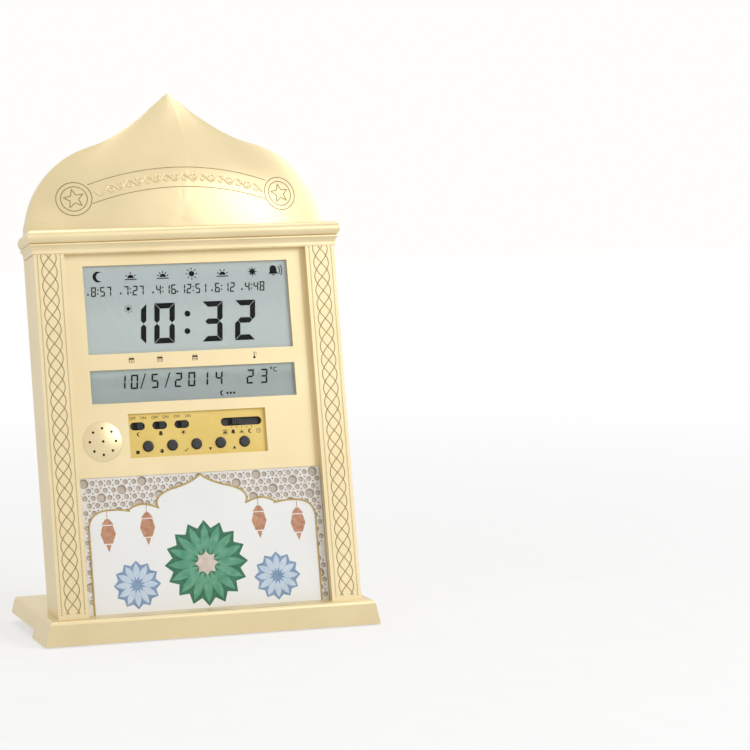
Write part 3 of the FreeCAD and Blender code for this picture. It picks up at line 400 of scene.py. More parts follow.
PAPER_CONE = Finish(
    "pressed_paper",
    low=(0.03, 0.03, 0.03),
    high=(0.06, 0.055, 0.05),
    gloss=(0.8, 0.9),
    patch=0.3,
    grain=1.2,
    grain_depth=0.05,
)
FERRITE = Finish("ferrite", (0.05, 0.05, 0.055), (0.09, 0.09, 0.095), gloss=(0.5, 0.7), metal=0.2)
SILICONE = Finish("contact_rubber", (0.3, 0.3, 0.31), (0.4, 0.4, 0.41), gloss=(0.6, 0.7))
RIBBON = Finish("flat_lead", (0.6, 0.6, 0.57), (0.7, 0.7, 0.67), patch=0.5)
CARD = Finish("card_white", (0.94, 0.94, 0.93), (0.98, 0.98, 0.97), gloss=SATIN, patch=0.02, grain=1.0)
LATTICE_SHADE = Finish("lattice_shade", (0.24, 0.18, 0.13), (0.42, 0.34, 0.27), gloss=MATT, patch=0.35)
LATTICE_STRAND = Finish("lattice_strand", (0.82, 0.78, 0.74), (0.94, 0.92, 0.89), gloss=MATT, patch=0.3)
LATTICE_DISC = Finish("lattice_disc", (0.50, 0.42, 0.34), (0.66, 0.58, 0.49), gloss=MATT, patch=0.4)
ARCH_GOLD = Finish(
    "arch_gold", (0.46, 0.31, 0.07), (0.62, 0.45, 0.13), gloss=(0.35, 0.45), metal=0.3, patch=0.3
)
GREEN_DEEP = Finish("print_green_deep", (0.012, 0.12, 0.055), (0.03, 0.2, 0.10), gloss=SATIN, patch=0.25)
GREEN_LIGHT = Finish("print_green_light", (0.06, 0.30, 0.17), (0.16, 0.42, 0.27), gloss=SATIN, patch=0.25)
BLUE_PALE = Finish("print_blue_pale", (0.50, 0.64, 0.80), (0.70, 0.79, 0.88), gloss=SATIN, patch=0.2)
BLUE_DEEP = Finish("print_blue_deep", (0.16, 0.27, 0.45), (0.30, 0.42, 0.60), gloss=SATIN, patch=0.2)
TERRACOTTA = Finish("print_terracotta", (0.45, 0.19, 0.09), (0.68, 0.36, 0.22), gloss=SATIN, patch=0.4)
PALE_STONE = Finish("print_pale_stone", (0.66, 0.52, 0.44), (0.80, 0.70, 0.62), gloss=SATIN, patch=0.3)
CLEAR = ClearFinish("clear_pane")
COVER_CLEAR = ClearFinish("clear_cover", 0.04)
MAIN_DISPLAY = DisplayFinish("main_display", 150.0, 203.0)
# The date display's colours are painted lighter than the main display's: painted light that offsets the
# darker shading it renders with.
DATE_DISPLAY = DisplayFinish("date_display", 121.0, 142.0, (0.62, 0.71, 0.70), (0.78, 0.89, 0.88))

NODE_FINISHES: tuple[tuple[AnyFinish, tuple[str, ...]], ...] = (
    (
        GOLD,
        (
            "base_stand",
            "base_cover",
            "front_housing",
            "cornice_moulding",
            "dome_pediment",
            "fascia_panel",
            "speaker_grille",
            "back_cover",
            "battery_door",
        ),
    ),
    (PLATE_GOLD, ("control_plate",)),
    (
        BLACK,
        (
            "stop_button",
            "city_button",
            "set_button",
            "down_button",
            "up_button",
            "left_slide_knob",
            "middle_slide_knob",
            "right_slide_knob",
            "mode_slide_knob",
            "slide_switch_cases",
            "mode_switch_case",
            "key_switches",
            "clock_chip",
        ),
    ),
    (RUBBER, ("rubber_feet",)),
    (
        STEEL,
        (
            "base_cover_screws",
            "body_screws",
            "pediment_screws",
            "back_cover_screws",
            "fascia_screws",
            "board_screws",
            "switch_board_screws",
            "speaker_basket",
        ),
    ),
    (TIN, ("battery_springs", "battery_contacts", "quartz_crystal")),
    (WHITE_PLASTIC, ("main_display_frame", "date_display_frame")),
    (BOARD, ("main_board", "switch_board")),
    (CELL, ("battery_cells", "board_capacitors")),
    (PAPER_CONE, ("speaker_cone", "temperature_sensor")),
    (FERRITE, ("speaker_magnet",)),
    (SILICONE, ("contact_strips",)),
    (RIBBON, ("ribbon_cable",)),
    (CARD, ("picture_card",)),
    (MAIN_DISPLAY, ("main_display_glass",)),
    (DATE_DISPLAY, ("date_display_glass",)),
    (CLEAR, ("main_display_window", "date_display_window")),
)


# Making pieces
def deselect() -> None:
    """Leaves nothing selected."""
    bpy.ops.object.select_all(action="DESELECT")


def select_only(piece: bpy.types.Object) -> None:
    """Selects one piece and makes it active.

    Args:
        piece: The object.
    """
    deselect()
    piece.select_set(True)
    bpy.context.view_layer.objects.active = piece


def to_mesh(curve: bpy.types.Object) -> bpy.types.Object:
    """Turns a curve or text object into a mesh.

    Args:
        curve: The object.

    Returns:
        The same object, now a mesh.
    """
    select_only(curve)
    bpy.ops.object.convert(target="MESH")
    return bpy.context.object


def finish_piece(
    piece: bpy.types.Object,
    finish: bpy.types.Material,
    body: str = "root",
) -> bpy.types.Object:
    """Puts a piece in place in its mesh, gives it its material and lets it ride on a body.

    Args:
        piece: The mesh object, built in the case's upright frame.
        finish: Its material.
        body: The body it rides on.

    Returns:
        The piece.
    """
    piece.data.transform(CASE)
    piece.data.materials.clear()
    piece.data.materials.append(finish)
    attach(piece, body)
    LOG.info("made %s with %d faces", piece.name, len(piece.data.polygons))
    return piece


def inlay(name: str, outlines: Iterable[Outline], depth: float, thick: float) -> bpy.types.Object:
    """A flat piece with the given outlines, in the case's upright frame; inner outlines are holes.

    Args:
        name: The piece's name.
        outlines: Closed outlines, across and up, in millimetres.
        depth: How far behind the case's face its front lies, in millimetres.
        thick: Its thickness in millimetres.

    Returns:
        The mesh object.
    """
    curve = bpy.data.curves.new(name, "CURVE")
    curve.dimensions = "2D"
    curve.fill_mode = "BOTH"
    curve.extrude = thick / 2 * MM
    for outline in outlines:
        spline = curve.splines.new("POLY")
        spline.points.add(len(outline) - 1)
        for point, (across, up) in zip(spline.points, outline):
            point.co = (across * MM, up * MM, 0, 1)
        spline.use_cyclic_u = True
    piece = bpy.data.objects.new(name, curve)
    bpy.context.scene.collection.objects.link(piece)
    piece = to_mesh(piece)
    piece.data.transform(Matrix.Translation((0, (depth + thick / 2) * MM, 0)) @ FLAT_TO_CASE)
    return piece


def wire(
    name: str,
    lines: Iterable[Outline],
    radius: float,
    depth: float = 0.0,
    closed: bool = False,
    sides: int = 1,
) -> bpy.types.Object:
    """Round beads along lines on the case's face, in the case's upright frame.

    Args:
        name: The piece's name.
        lines: The lines, across and up, in millimetres.
        radius: The bead's radius in millimetres.
        depth: Depth of the bead's axis behind the face.
        closed: Whether each line closes on itself.
        sides: The bead's roundness, from 0.

    Returns:
        The mesh object.
    """
    curve = bpy.data.curves.new(name, "CURVE")
    curve.dimensions = "3D"
    curve.bevel_depth = radius * MM
    curve.bevel_resolution = sides
    curve.use_fill_caps = not closed
    for line in lines:
        spline = curve.splines.new("POLY")
        spline.points.add(len(line) - 1)
        for point, (across, up) in zip(spline.points, line):
            point.co = (across * MM, up * MM, 0, 1)
        spline.use_cyclic_u = closed
    piece = bpy.data.objects.new(name, curve)
    bpy.context.scene.collection.objects.link(piece)
    piece = to_mesh(piece)
    piece.data.transform(Matrix.Translation((0, depth * MM, 0)) @ FLAT_TO_CASE)
    for face in piece.data.polygons:
        face.use_smooth = True
    return piece


def arc(centre: Point, radius: float, start: float, end: float, steps: int) -> list[Point]:
    """Points along a circular arc.

    Args:
        centre: Its middle.
        radius: Its radius.
        start: Direction of its first point in degrees.
        end: Direction of its last point in degrees.
        steps: How many steps from start to end.

    Returns:
        The points from start to end.
    """
    points = []
    for step in range(steps + 1):
        turn = math.radians(start + (end - start) * step / steps)
        points.append((centre[0] + radius * math.cos(turn), centre[1] + radius * math.sin(turn)))
    return points


def ring(centre: Point, radius: float, steps: int = 48) -> list[Point]:
    """Points round a whole circle, without the last repeated."""
    return arc(centre, radius, 0, 360, steps)[:-1]


def star(centre: Point, outer: float, inner: float, tips: int, turn: float = 90.0) -> list[Point]:
    """A star's outline.

    Args:
        centre: Its middle.
        outer: Radius of its tips.
        inner: Radius of its inner corners.
        tips: How many tips.
        turn: Direction of the first tip in degrees.

    Returns:
        The closed outline's points.
    """
    points = []
    for index in range(2 * tips):
        angle = math.radians(turn + 180.0 * index / tips)
        radius = inner if index % 2 else outer
        points.append((centre[0] + radius * math.cos(angle), centre[1] + radius * math.sin(angle)))
    return points


def block(centre: Point, width: float, height: float) -> list[Point]:
    """A rectangle's outline round a centre."""
    corners = ((-0.5, -0.5), (0.5, -0.5), (0.5, 0.5), (-0.5, 0.5))
    return [(centre[0] + across * width, centre[1] + up * height) for across, up in corners]


def bar(start: Point, end: Point, width: float) -> list[Point]:
    """The outline of a straight stroke.

    Args:
        start: One end of its middle line.
        end: The other end.
        width: Its width.

    Returns:
        The closed outline's points.
    """
    along = Vector((end[0] - start[0], end[1] - start[1])).normalized()
    off = Vector((-along.y, along.x)) * width / 2
    return [
        (start[0] + off.x, start[1] + off.y),
        (start[0] - off.x, start[1] - off.y),
        (end[0] - off.x, end[1] - off.y),
        (end[0] + off.x, end[1] + off.y),
    ]


def bent_bar(centre: Point, radius: float, width: float, ends: Range, steps: int) -> list[Point]:
    """The outline of a stroke bent round a centre.

    Args:
        centre: Middle of its bend.
        radius: Its outer radius.
        width: Its width.
        ends: Directions of its two ends in degrees.
        steps: How many steps from end to end.

    Returns:
        The closed outline's points.
    """
    start, end = ends
    return arc(centre, radius, start, end, steps) + arc(centre, radius - width, end, start, steps)


def moved(outlines: Iterable[Outline], across: float, up: float, scale: float = 1.0) -> list[list[Point]]:
    """Outlines scaled about the origin and then moved."""
    return [[(across + x * scale, up + y * scale) for x, y in outline] for outline in outlines]


# Dome
@dataclass
class DomeEngraving:
    """Medallions, the arched band and its scrollwork, laid over the dome's swelling face."""

    finishes: Finishes
    medallion_across: float = 62.3
    medallion_up: float = 242.7
    medallion_outer: float = 10.0
    medallion_inner: float = 7.4
    star_outer: float = 6.0
    star_inner: float = 2.5
    star_tips: int = 5
    star_turn: float = 98.0
    line_radius: float = 0.26
    band_top: Range = (250.6, 259.0)
    band_bottom: Range = (239.0, 247.0)
    band_half: float = 54.0
    band_steps: int = 64
    band_line_share: float = 0.85
    band_foot_inset: float = 1.5
    vine_inset: float = 3.0
    vine_pitch: float = 11.0
    vine_swing: float = 2.3
    vine_radius: float = 0.55
    curl_reach: float = 1.9
    curl_turns: float = 0.8
    curl_steps: int = 14
    surface: BVHTree | None = None

    def survey(self) -> None:
        """Reads the dome's face from its CAD node, in the case's upright frame."""
        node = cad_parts["dome_pediment"]
        upright = CASE.inverted()
        points = [upright @ vertex.co for vertex in node.data.vertices]
        faces = [tuple(face.vertices) for face in node.data.polygons]
        self.surface = BVHTree.FromPolygons(points, faces)

    def depth_at(self, across: float, up: float) -> float:
        """Depth of the dome's face behind the case's face, in metres, at a place in metres."""
        hit = self.surface.ray_cast(Vector((across, -0.05, up)), Vector((0, 1, 0)))
        return hit[0].y if hit[0] is not None else 0.0

    def drape(self, piece: bpy.types.Object) -> bpy.types.Object:
        """Moves every point of a piece back onto the dome's face.

        Args:
            piece: A piece built on the case's face.

        Returns:
            The same piece.
        """
        for vertex in piece.data.vertices:
            vertex.co.y += self.depth_at(vertex.co.x, vertex.co.z)
        return piece

    def band_line(self, ends_and_crown: Range, half: float) -> list[Point]:
        """One edge of the arched band.

        Args:
            ends_and_crown: Height at its ends and at its crown.
            half: Half its span.

        Returns:
            The edge's points from left to right.
        """
        low, high = ends_and_crown
        rise = high - low
        radius = (half**2 + rise**2) / (2 * rise)
        sweep = math.degrees(math.asin(half / radius))
        return arc((0.0, high - radius), radius, 90 + sweep, 90 - sweep, self.band_steps)

    def curl(self, across: float, up: float, side: int) -> list[Point]:
        """One curled leaf of the vine, tightening towards its tip.

        Args:
            across: Where it grows.
            up: Height of the vine's middle line there.
            side: 1 where the vine runs above its middle line, -1 where it runs below.

        Returns:
            The leaf's points from its root.
        """
        points = []
        for step in range(self.curl_steps + 1):
            share = step / self.curl_steps
            turn = share * self.curl_turns * 2 * math.pi
            radius = self.curl_reach * (1 - 0.55 * share)
            rise = side * (0.9 - radius * math.cos(turn)) * 0.9
            points.append((across + radius * math.sin(turn) * 1.1, up - rise))
        return points

    def scroll(self) -> list[list[Point]]:
        """A running vine with curled leaves along the middle of the band.

        Returns:
            The vine's lines.
        """
        middle = tuple((top + bottom) / 2 for top, bottom in zip(self.band_top, self.band_bottom))
        spine = self.band_line(middle, self.band_half - self.vine_inset)
        wave = 2 * math.pi / self.vine_pitch
        lines = [[(across, up + self.vine_swing * math.sin(wave * across)) for across, up in spine]]
        gap = self.vine_pitch / 2
        count = int((self.band_half - 2 * self.vine_inset) / gap)
        for index in range(-count, count + 1):
            across = (index + 0.5) * gap
            _, up = min(spine, key=lambda point: abs(point[0] - across))
            side = 1 if math.sin(wave * across) > 0 else -1
            lines.append(self.curl(across, up, side))
        return lines

    def build(self) -> None:
        """Makes the dome's lines of engraving; all but the vine are in dark gold that is painted groove
        shade.
        """
        self.survey()
        groove_shade = self.finishes.get(GROOVE_SHADE_GOLD)
        rings = []
        stars = []
        for side in (-1, 1):
            centre = (side * self.medallion_across, self.medallion_up)
            rings += [ring(centre, self.medallion_outer, 64), ring(centre, self.medallion_inner, 56)]
            stars.append(star(centre, self.star_outer, self.star_inner, self.star_tips, self.star_turn))
        closed = wire("dome_medallion_rings", rings, self.line_radius, closed=True)
        finish_piece(self.drape(closed), groove_shade)
        outlines = wire("dome_medallion_stars", self.finer(stars), self.line_radius, closed=True)
        finish_piece(self.drape(outlines), groove_shade)
        edges = [
            self.band_line(self.band_top, self.band_half),
            self.band_line(self.band_bottom, self.band_half - self.band_foot_inset),
        ]
        band = wire("dome_band_lines", edges, self.line_radius * self.band_line_share)
        finish_piece(self.drape(band), groove_shade)
        vine = wire("dome_band_vine", self.scroll(), self.vine_radius)
        finish_piece(self.drape(vine), self.finishes.get(GOLD))

    @staticmethod
    def finer(outlines: list[list[Point]], steps: int = 4) -> list[list[Point]]:
        """Adds points along each straight edge, so that the draped line follows the face.

        Args:
            outlines: Closed outlines.
            steps: How many lengths each edge is cut into.

        Returns:
            The same outlines with more points.
        """
        cut = []
        for outline in outlines:
            points = []
            for start, end in zip(outline, outline[1:] + outline[:1]):
                for step in range(steps):
                    place = Vector(start).lerp(Vector(end), step / steps)
                    points.append((place.x, place.y))
            cut.append(points)
        return cut


# Pillars
@dataclass
class PillarEngraving:
    """The interlaced strands and beaded borders down both pillars."""

    finishes: Finishes
    middle: float = 81.8
    swing: float = 4.5
    period: float = 33.2
    strands: int = 4
    low: float = 2.6
    high: float = 209.2
    line_radius: float = 0.26
    border_inner: float = 75.0
    border_outer: float = 88.4
    bead_pitch: float = 1.45
    bead_radius: float = 0.42
    bead_flatness: float = 0.8
    point_pitch: float = 0.8

    def strand(self, side: int, index: int) -> list[Point]:
        """One strand of a pillar's braid.

        Args:
            side: -1 for the left pillar, 1 for the right one.
            index: Which strand.

        Returns:
            Its points from the foot up.
        """
        steps = int((self.high - self.low) / self.point_pitch)
        points = []
        for step in range(steps + 1):
            up = self.low + (self.high - self.low) * step / steps
            phase = 2 * math.pi * (up / self.period + index / self.strands)
            points.append((side * self.middle + self.swing * math.cos(phase), up))
        return points

    def beads(self) -> bpy.types.Object:
        """The beaded borders, copies of one small bead.

        Returns:
            One mesh object with all the beads.
        """
        deselect()
        bpy.ops.mesh.primitive_ico_sphere_add(subdivisions=1, radius=self.bead_radius * MM)
        seed = bpy.context.object
        seed.data.transform(Matrix.Diagonal((1, self.bead_flatness, 1, 1)))
        points = [vertex.co.copy() for vertex in seed.data.vertices]
        faces = [tuple(face.vertices) for face in seed.data.polygons]
        bpy.data.objects.remove(seed)
        all_points = []
        all_faces = []
        count = int((self.high - self.low) / self.bead_pitch)
        for line in (-self.border_outer, -self.border_inner, self.border_inner, self.border_outer):
            for index in range(count + 1):
                place = Vector((line * MM, 0, (self.low + index * self.bead_pitch) * MM))
                start = len(all_points)
                all_points += [point + place for point in points]
                all_faces += [tuple(start + corner for corner in face) for face in faces]
        mesh = bpy.data.meshes.new("pillar_beads")
        mesh.from_pydata(all_points, [], all_faces)
        for face in mesh.polygons:
            face.use_smooth = True
        piece = bpy.data.objects.new("pillar_beads", mesh)
        bpy.context.scene.collection.objects.link(piece)
        return piece

    def build(self) -> None:
        """Makes both pillars' engraving, in dark gold that is painted groove shade."""
        groove_shade = self.finishes.get(GROOVE_SHADE_GOLD)
        lines = [self.strand(side, index) for side in (-1, 1) for index in range(self.strands)]
        braid = wire("pillar_braid", lines, self.line_radius, sides=0)
        finish_piece(braid, groove_shade)
        finish_piece(self.beads(), groove_shade)


# Displays
SEGMENTS_OF = {
    "0": "abcdef",
    "1": "bc",
    "2": "abged",
    "3": "abgcd",
    "4": "fgbc",
    "5": "afgcd",
    "6": "afgedc",
    "7": "abc",
    "8": "abcdefg",
    "9": "abcdfg",
}


@dataclass(frozen=True)
class Numeral:
    """The measures of one size of seven-segment numeral."""

    width: float
    height: float
    stroke: float
    slant: float = 0.075
    gap: float = 0.18

    def outlines(self, character: str) -> list[list[Point]]:
        """The lit segments of a numeral whose lower left corner is the origin.

        Args:
            character: A digit.

        Returns:
            One outline for each lit segment, slanted like the whole numeral.
        """
        wide, high, bar_width = self.width, self.height, self.stroke
        middle, half, gap = high / 2, bar_width / 2, self.gap
        inner = wide - bar_width
        top = high - bar_width
        level = [
            (half + gap, middle),
            (bar_width + gap, middle + half),
            (inner - gap, middle + half),
            (wide - half - gap, middle),
            (inner - gap, middle - half),
            (bar_width + gap, middle - half),
        ]
        crown = [(gap, high), (wide - gap, high), (inner - gap, top), (bar_width + gap, top)]
        upper_right = [
            (wide, high - gap),
            (wide, middle + half + gap),
            (wide - half, middle + gap),
            (inner, middle + half + gap),
            (inner, top - gap),
        ]
        shapes = {
            "a": crown,
            "b": upper_right,
            "c": [(x, high - y) for x, y in upper_right],
            "d": [(x, high - y) for x, y in crown],
            "e": [(wide - x, high - y) for x, y in upper_right],
            "f": [(wide - x, y) for x, y in upper_right],
            "g": level,
        }
        return [[(x + self.slant * y, y) for x, y in shapes[name]] for name in SEGMENTS_OF[character]]


Digits = tuple[tuple[str, float], ...]


def digits_at(numeral: Numeral, placed: Digits, low: float) -> list[list[Point]]:
    """Digits at their own places.

    Args:
        numeral: Their measures.
        placed: Each digit and where it starts.
        low: Their foot.

    Returns:
        All outlines.
    """
    shapes = []
    for digit, left in placed:
        shapes += moved(numeral.outlines(digit), left, low)
    return shapes


def bell_outline() -> list[list[Point]]:
    """A small bell, about one unit high.

    Returns:
        Its body and its clapper.
    """
    body = [(-0.5, -0.35), (0.5, -0.35), (0.36, -0.15), (0.34, 0.15)]
    body += arc((0.0, 0.15), 0.34, 0, 180, 10)[1:]
    body += [(-0.36, -0.15)]
    return [body, arc((0.0, -0.4), 0.13, 180, 360, 6)]


def crescent_outline() -> list[list[Point]]:
    """A crescent, about one unit high."""
    return [arc((0.0, 0.0), 0.5, 60, 300, 16) + arc((0.22, 0.0), 0.4, 285, 75, 14)]


def sun_outline(whole: bool, rays: int, stroke: float = 0.09) -> list[list[Point]]:
    """A whole sun, or a half one on the horizon.

    Args:
        whole: Whether all of its disc shows.
        rays: How many rays.
        stroke: Width of the rays and of the horizon.

    Returns:
        Its outlines.
    """
    if whole:
        base = 0.0
        shapes = [ring((0.0, base), 0.26, 18)]
        angles = [360.0 * index / rays for index in range(rays)]
    else:
        base = -0.2
        shapes = [arc((0.0, base), 0.3, 0, 180, 12), block((0.0, base - 0.12), 1.1, stroke)]
        angles = [180.0 * (index + 0.5) / rays for index in range(rays)]
    for angle in angles:
        way = Vector((math.cos(math.radians(angle)), math.sin(math.radians(angle))))
        near, far = ((way.x * reach, base + way.y * reach) for reach in (0.38, 0.55))
        shapes.append(bar(near, far, stroke))
    return shapes


def arrow_outline(up: bool) -> list[list[Point]]:
    """A small triangle that points up or down."""
    way = 1 if up else -1
    return [[(-0.4, -0.3 * way), (0.4, -0.3 * way), (0.0, 0.4 * way)]]


def clock_outline() -> list[list[Point]]:
    """A clock face with two hands."""
    hands = [bar((0, -0.03), (0, 0.32), 0.09), bar((0, 0), (0.24, -0.02), 0.09)]
    return [ring((0, 0), 0.5, 20), ring((0, 0), 0.41, 20), *hands]


@dataclass
class Displays:
    """The dark numerals and marks of both liquid-crystal displays."""

    finishes: Finishes
    thick: float = 0.05
    lift: float = 0.05
    big: Numeral = Numeral(12.3, 23.6, 3.2)
    small: Numeral = Numeral(2.9, 5.6, 0.72, 0.075, 0.05)
    date: Numeral = Numeral(4.3, 8.4, 0.98, 0.1, 0.07)
    hour_foot: float = 156.0
    hour_digits: Digits = (("1", -38.3), ("0", -21.2), ("3", 7.7), ("2", 27.6))
    colon_across: float = -1.3
    colon_ups: Range = (162.6, 172.8)
    times: tuple[str, ...] = ("8:57", "7:27", "4:16", "12:51", "6:12", "4:48")
    time_starts: tuple[float, ...] = (-56.8, -37.4, -18.0, -3.4, 17.6, 35.8)
    time_foot: float = 184.7
    time_step: float = 3.75
    sign_middles: tuple[float, ...] = (-51.9, -32.5, -13.2, 4.2, 22.9, 41.2)
    sign_up: float = 196.2
    bell_centre: Point = (54.0, 196.6)
    date_foot: float = 130.1
    day_digits: Digits = (("1", -44.6), ("0", -37.2), ("5", -25.0))
    year_digits: Digits = (("2", -10.9), ("0", -2.9), ("1", 4.9), ("4", 13.6))
    warmth_digits: Digits = (("2", 32.6), ("3", 40.9))

    def small_time(self, text: str, left: float) -> list[list[Point]]:
        """One of the small times in the upper row.

        Args:
            text: Its digits and colon.
            left: Where the first digit starts.

        Returns:
            All outlines.
        """
        numeral = self.small
        low = self.time_foot
        step = self.time_step
        shapes = []
        place = left
        for character in text:
            if character == ":":
                dot = numeral.stroke * 1.05
                for rise in (numeral.height * 0.3, numeral.height * 0.7):
                    centre = (place + step * 0.08 + numeral.slant * rise, low + rise)
                    shapes.append(block(centre, dot, dot))
                place += step * 0.42
            else:
                shapes += moved(numeral.outlines(character), place, low)
                place += step
        return shapes

    def main_shapes(self) -> list[list[Point]]:
        """Everything that the main display shows.

        Returns:
            All outlines.
        """
        shapes = digits_at(self.big, self.hour_digits, self.hour_foot)
        for up in self.colon_ups:
            across = self.colon_across + self.big.slant * (up - self.hour_foot)
            shapes.append(ring((across, up), 1.75, 24))
        signs = (
            crescent_outline(),
            sun_outline(False, 3),
            sun_outline(False, 5),
            sun_outline(True, 8),
            sun_outline(False, 4),
            [star((0.0, 0.0), 0.5, 0.2, 8)],
        )
        for text, start, middle, sign in zip(self.times, self.time_starts, self.sign_middles, signs):
            shapes += self.small_time(text, start)
            shapes += moved(arrow_outline(True), start - 1.7, self.time_foot + 1.5, 1.9)
            shapes += moved(sign, middle, self.sign_up, 6.4)
        shapes += moved(bell_outline(), *self.bell_centre, 6.0)
        for radius in (4.2, 5.6):
            shapes.append(bent_bar(self.bell_centre, radius, 0.5, (-35, 35), 8))
        shapes += moved(sun_outline(True, 8), -35.2, 177.0, 4.4)
        return shapes

    def date_shapes(self) -> list[list[Point]]:
        """Everything that the date display shows.

        Returns:
            All outlines.
        """
        low = self.date_foot
        shapes = digits_at(self.date, self.day_digits + self.year_digits + self.warmth_digits, low)
        for left in (-31.2, -16.6):
            shapes.append(bar((left, low), (left + 3.4, low + 8.8), 0.7))
        degree = (48.2, low + 8.8)
        shapes += [ring(degree, 0.8, 14), ring(degree, 0.4, 14)]
        shapes.append(bent_bar((50.9, low + 7.8), 1.4, 0.5, (50, 310), 14))
        shapes += moved(crescent_outline(), 17.6, 125.4, 3.0)
        for index in range(3):
            shapes.append(block((20.6 + 2.0 * index, 125.3), 1.2, 1.2))
        return shapes

    def build(self) -> None:
        """Makes both displays' marks."""
        ink = self.finishes.get(INK)
        depth = GLASS_FACE - self.thick - self.lift / 2
        marks = {"main_display_marks": self.main_shapes(), "date_display_marks": self.date_shapes()}
        for name, shapes in marks.items():
            finish_piece(inlay(name, shapes, depth, self.thick), ink)


# Printed marks
@dataclass
class PanelMarks:
    """Printed signs over the date display and on the control plate."""

    finishes: Finishes
    thick: float = 0.05
    word_size: float = 2.3
    word_up: float = 113.0
    word_acrosses: tuple[float, ...] = (-37.4, -31.1, -24.2, -17.8, -10.9, -4.4)
    slide_sign_up: float = 103.7
    mode_sign_up: float = 102.5
    mode_sign_acrosses: tuple[float, ...] = (17.4, 22.3, 27.4, 32.7, 37.7)
    tick_up: float = 105.1
    tick_acrosses: tuple[float, ...] = (21.6, 24.6, 27.6, 30.7, 33.7)
    key_sign_up: float = 93.3
    key_sign_acrosses: tuple[float, ...] = (-35.6, -21.2, -6.6, 7.9, 22.4)
    leaf_up: float = 146.6
    leaf_acrosses: tuple[float, ...] = (-36.0, -19.0, 2.0)
    leaf_dots: tuple[Place, ...] = ((0.7, 0.7, 0.0), (0.6, 0.6, 1.0), (0.5, 0.6, 0.8))
    thermometer_across: float = 38.0

    def word(self, name: str, text: str, across: float) -> bpy.types.Object:
        """A short printed word over a slide switch, in the case's upright frame.

        Args:
            name: The piece's name.
            text: The word.
            across: Its middle.

        Returns:
            The mesh object.
        """
        deselect()
        bpy.ops.object.text_add()
        letters = bpy.context.object
        letters.data.body = text
        letters.data.size = self.word_size * MM
        letters.data.align_x = "CENTER"
        letters.data.align_y = "CENTER"
        letters.data.extrude = self.thick / 2 * MM
        piece = to_mesh(letters)
        piece.name = name
        place = Matrix.Translation((across * MM, (PLATE_FACE - self.thick / 2) * MM, self.word_up * MM))
        piece.data.transform(place @ FLAT_TO_CASE)
        return piece

    def plate_shapes(self) -> list[list[Point]]:
        """The signs under the slide switches and beside the keys.

        Returns:
            All outlines.
        """
        shapes = moved(crescent_outline(), -34.3, self.slide_sign_up, 2.4)
        shapes += moved(bell_outline(), -21.2, self.slide_sign_up, 2.8)
        shapes += moved(sun_outline(True, 8), -7.7, self.slide_sign_up, 3.0)
        shapes += [block((across, self.tick_up), 0.28, 1.0) for across in self.tick_acrosses]
        middle = (0.0, 0.0)
        mode_signs = (
            [block(middle, 1.0, 1.0), block(middle, 0.82, 0.82), *arrow_outline(True)],
            bell_outline(),
            sun_outline(False, 5),
            crescent_outline(),
            clock_outline(),
        )
        for across, sign in zip(self.mode_sign_acrosses, mode_signs):
            shapes += moved(sign, across, self.mode_sign_up, 2.7)
        dial = [ring(middle, 0.5, 16), ring(middle, 0.4, 16)]
        key_signs = (
            [block(middle, 0.8, 0.8)],
            [*dial, block(middle, 0.9, 0.08), block(middle, 0.08, 0.9)],
            [bar((-0.4, 0.0), (-0.1, -0.35), 0.14), bar((-0.14, -0.35), (0.45, 0.4), 0.14)],
            arrow_outline(False),
            arrow_outline(True),
        )
        for across, sign in zip(self.key_sign_acrosses, key_signs):
            shapes += moved(sign, across, self.key_sign_up, 2.6)
        return shapes

    def calendar_leaf(self, across: float, dots: int) -> list[list[Point]]:
        """A calendar leaf with a few dots on it.

        Args:
            across: Its middle.
            dots: How many dots it has, for which leaf_dots gives the width, height and pitch.

        Returns:
            Its outlines.
        """
        up = self.leaf_up
        shapes = [block((across, up), 3.2, 2.8), block((across, up - 0.4), 2.6, 1.6)]
        shapes += [block((across + side * 0.8, up + 1.8), 0.3, 0.6) for side in (-1, 1)]
        width, height, pitch = self.leaf_dots[dots - 1]
        first = across - (dots - 1) / 2 * pitch
        shapes += [block((first + index * pitch, up - 0.4), width, height) for index in range(dots)]
        return shapes

    def panel_shapes(self) -> list[list[Point]]:
        """Signs between the displays: calendar leaves for the date and a thermometer.

        Returns:
            All outlines.
        """
        shapes = []
        for index, across in enumerate(self.leaf_acrosses):
            shapes += self.calendar_leaf(across, index + 1)
        across = self.thermometer_across
        shapes += [ring((across, 145.4), 0.8, 14), block((across, 147.4), 0.5, 2.6)]
        shapes += [block((across + 1.2, 147.0 + 0.6 * index), 0.7, 0.18) for index in range(3)]
        return shapes

    def build(self) -> None:
        """Makes all printed marks."""
        print_ink = self.finishes.get(PRINT_INK)
        plate = inlay("control_plate_marks", self.plate_shapes(), PLATE_FACE - self.thick, self.thick)
        finish_piece(plate, print_ink)
        panel = inlay("panel_marks", self.panel_shapes(), PANEL_FACE - self.thick, self.thick)
        finish_piece(panel, print_ink)
        for index, across in enumerate(self.word_acrosses):
            piece = self.word(f"switch_word_{index + 1}", ("OFF", "ON")[index % 2], across)
            finish_piece(piece, print_ink)


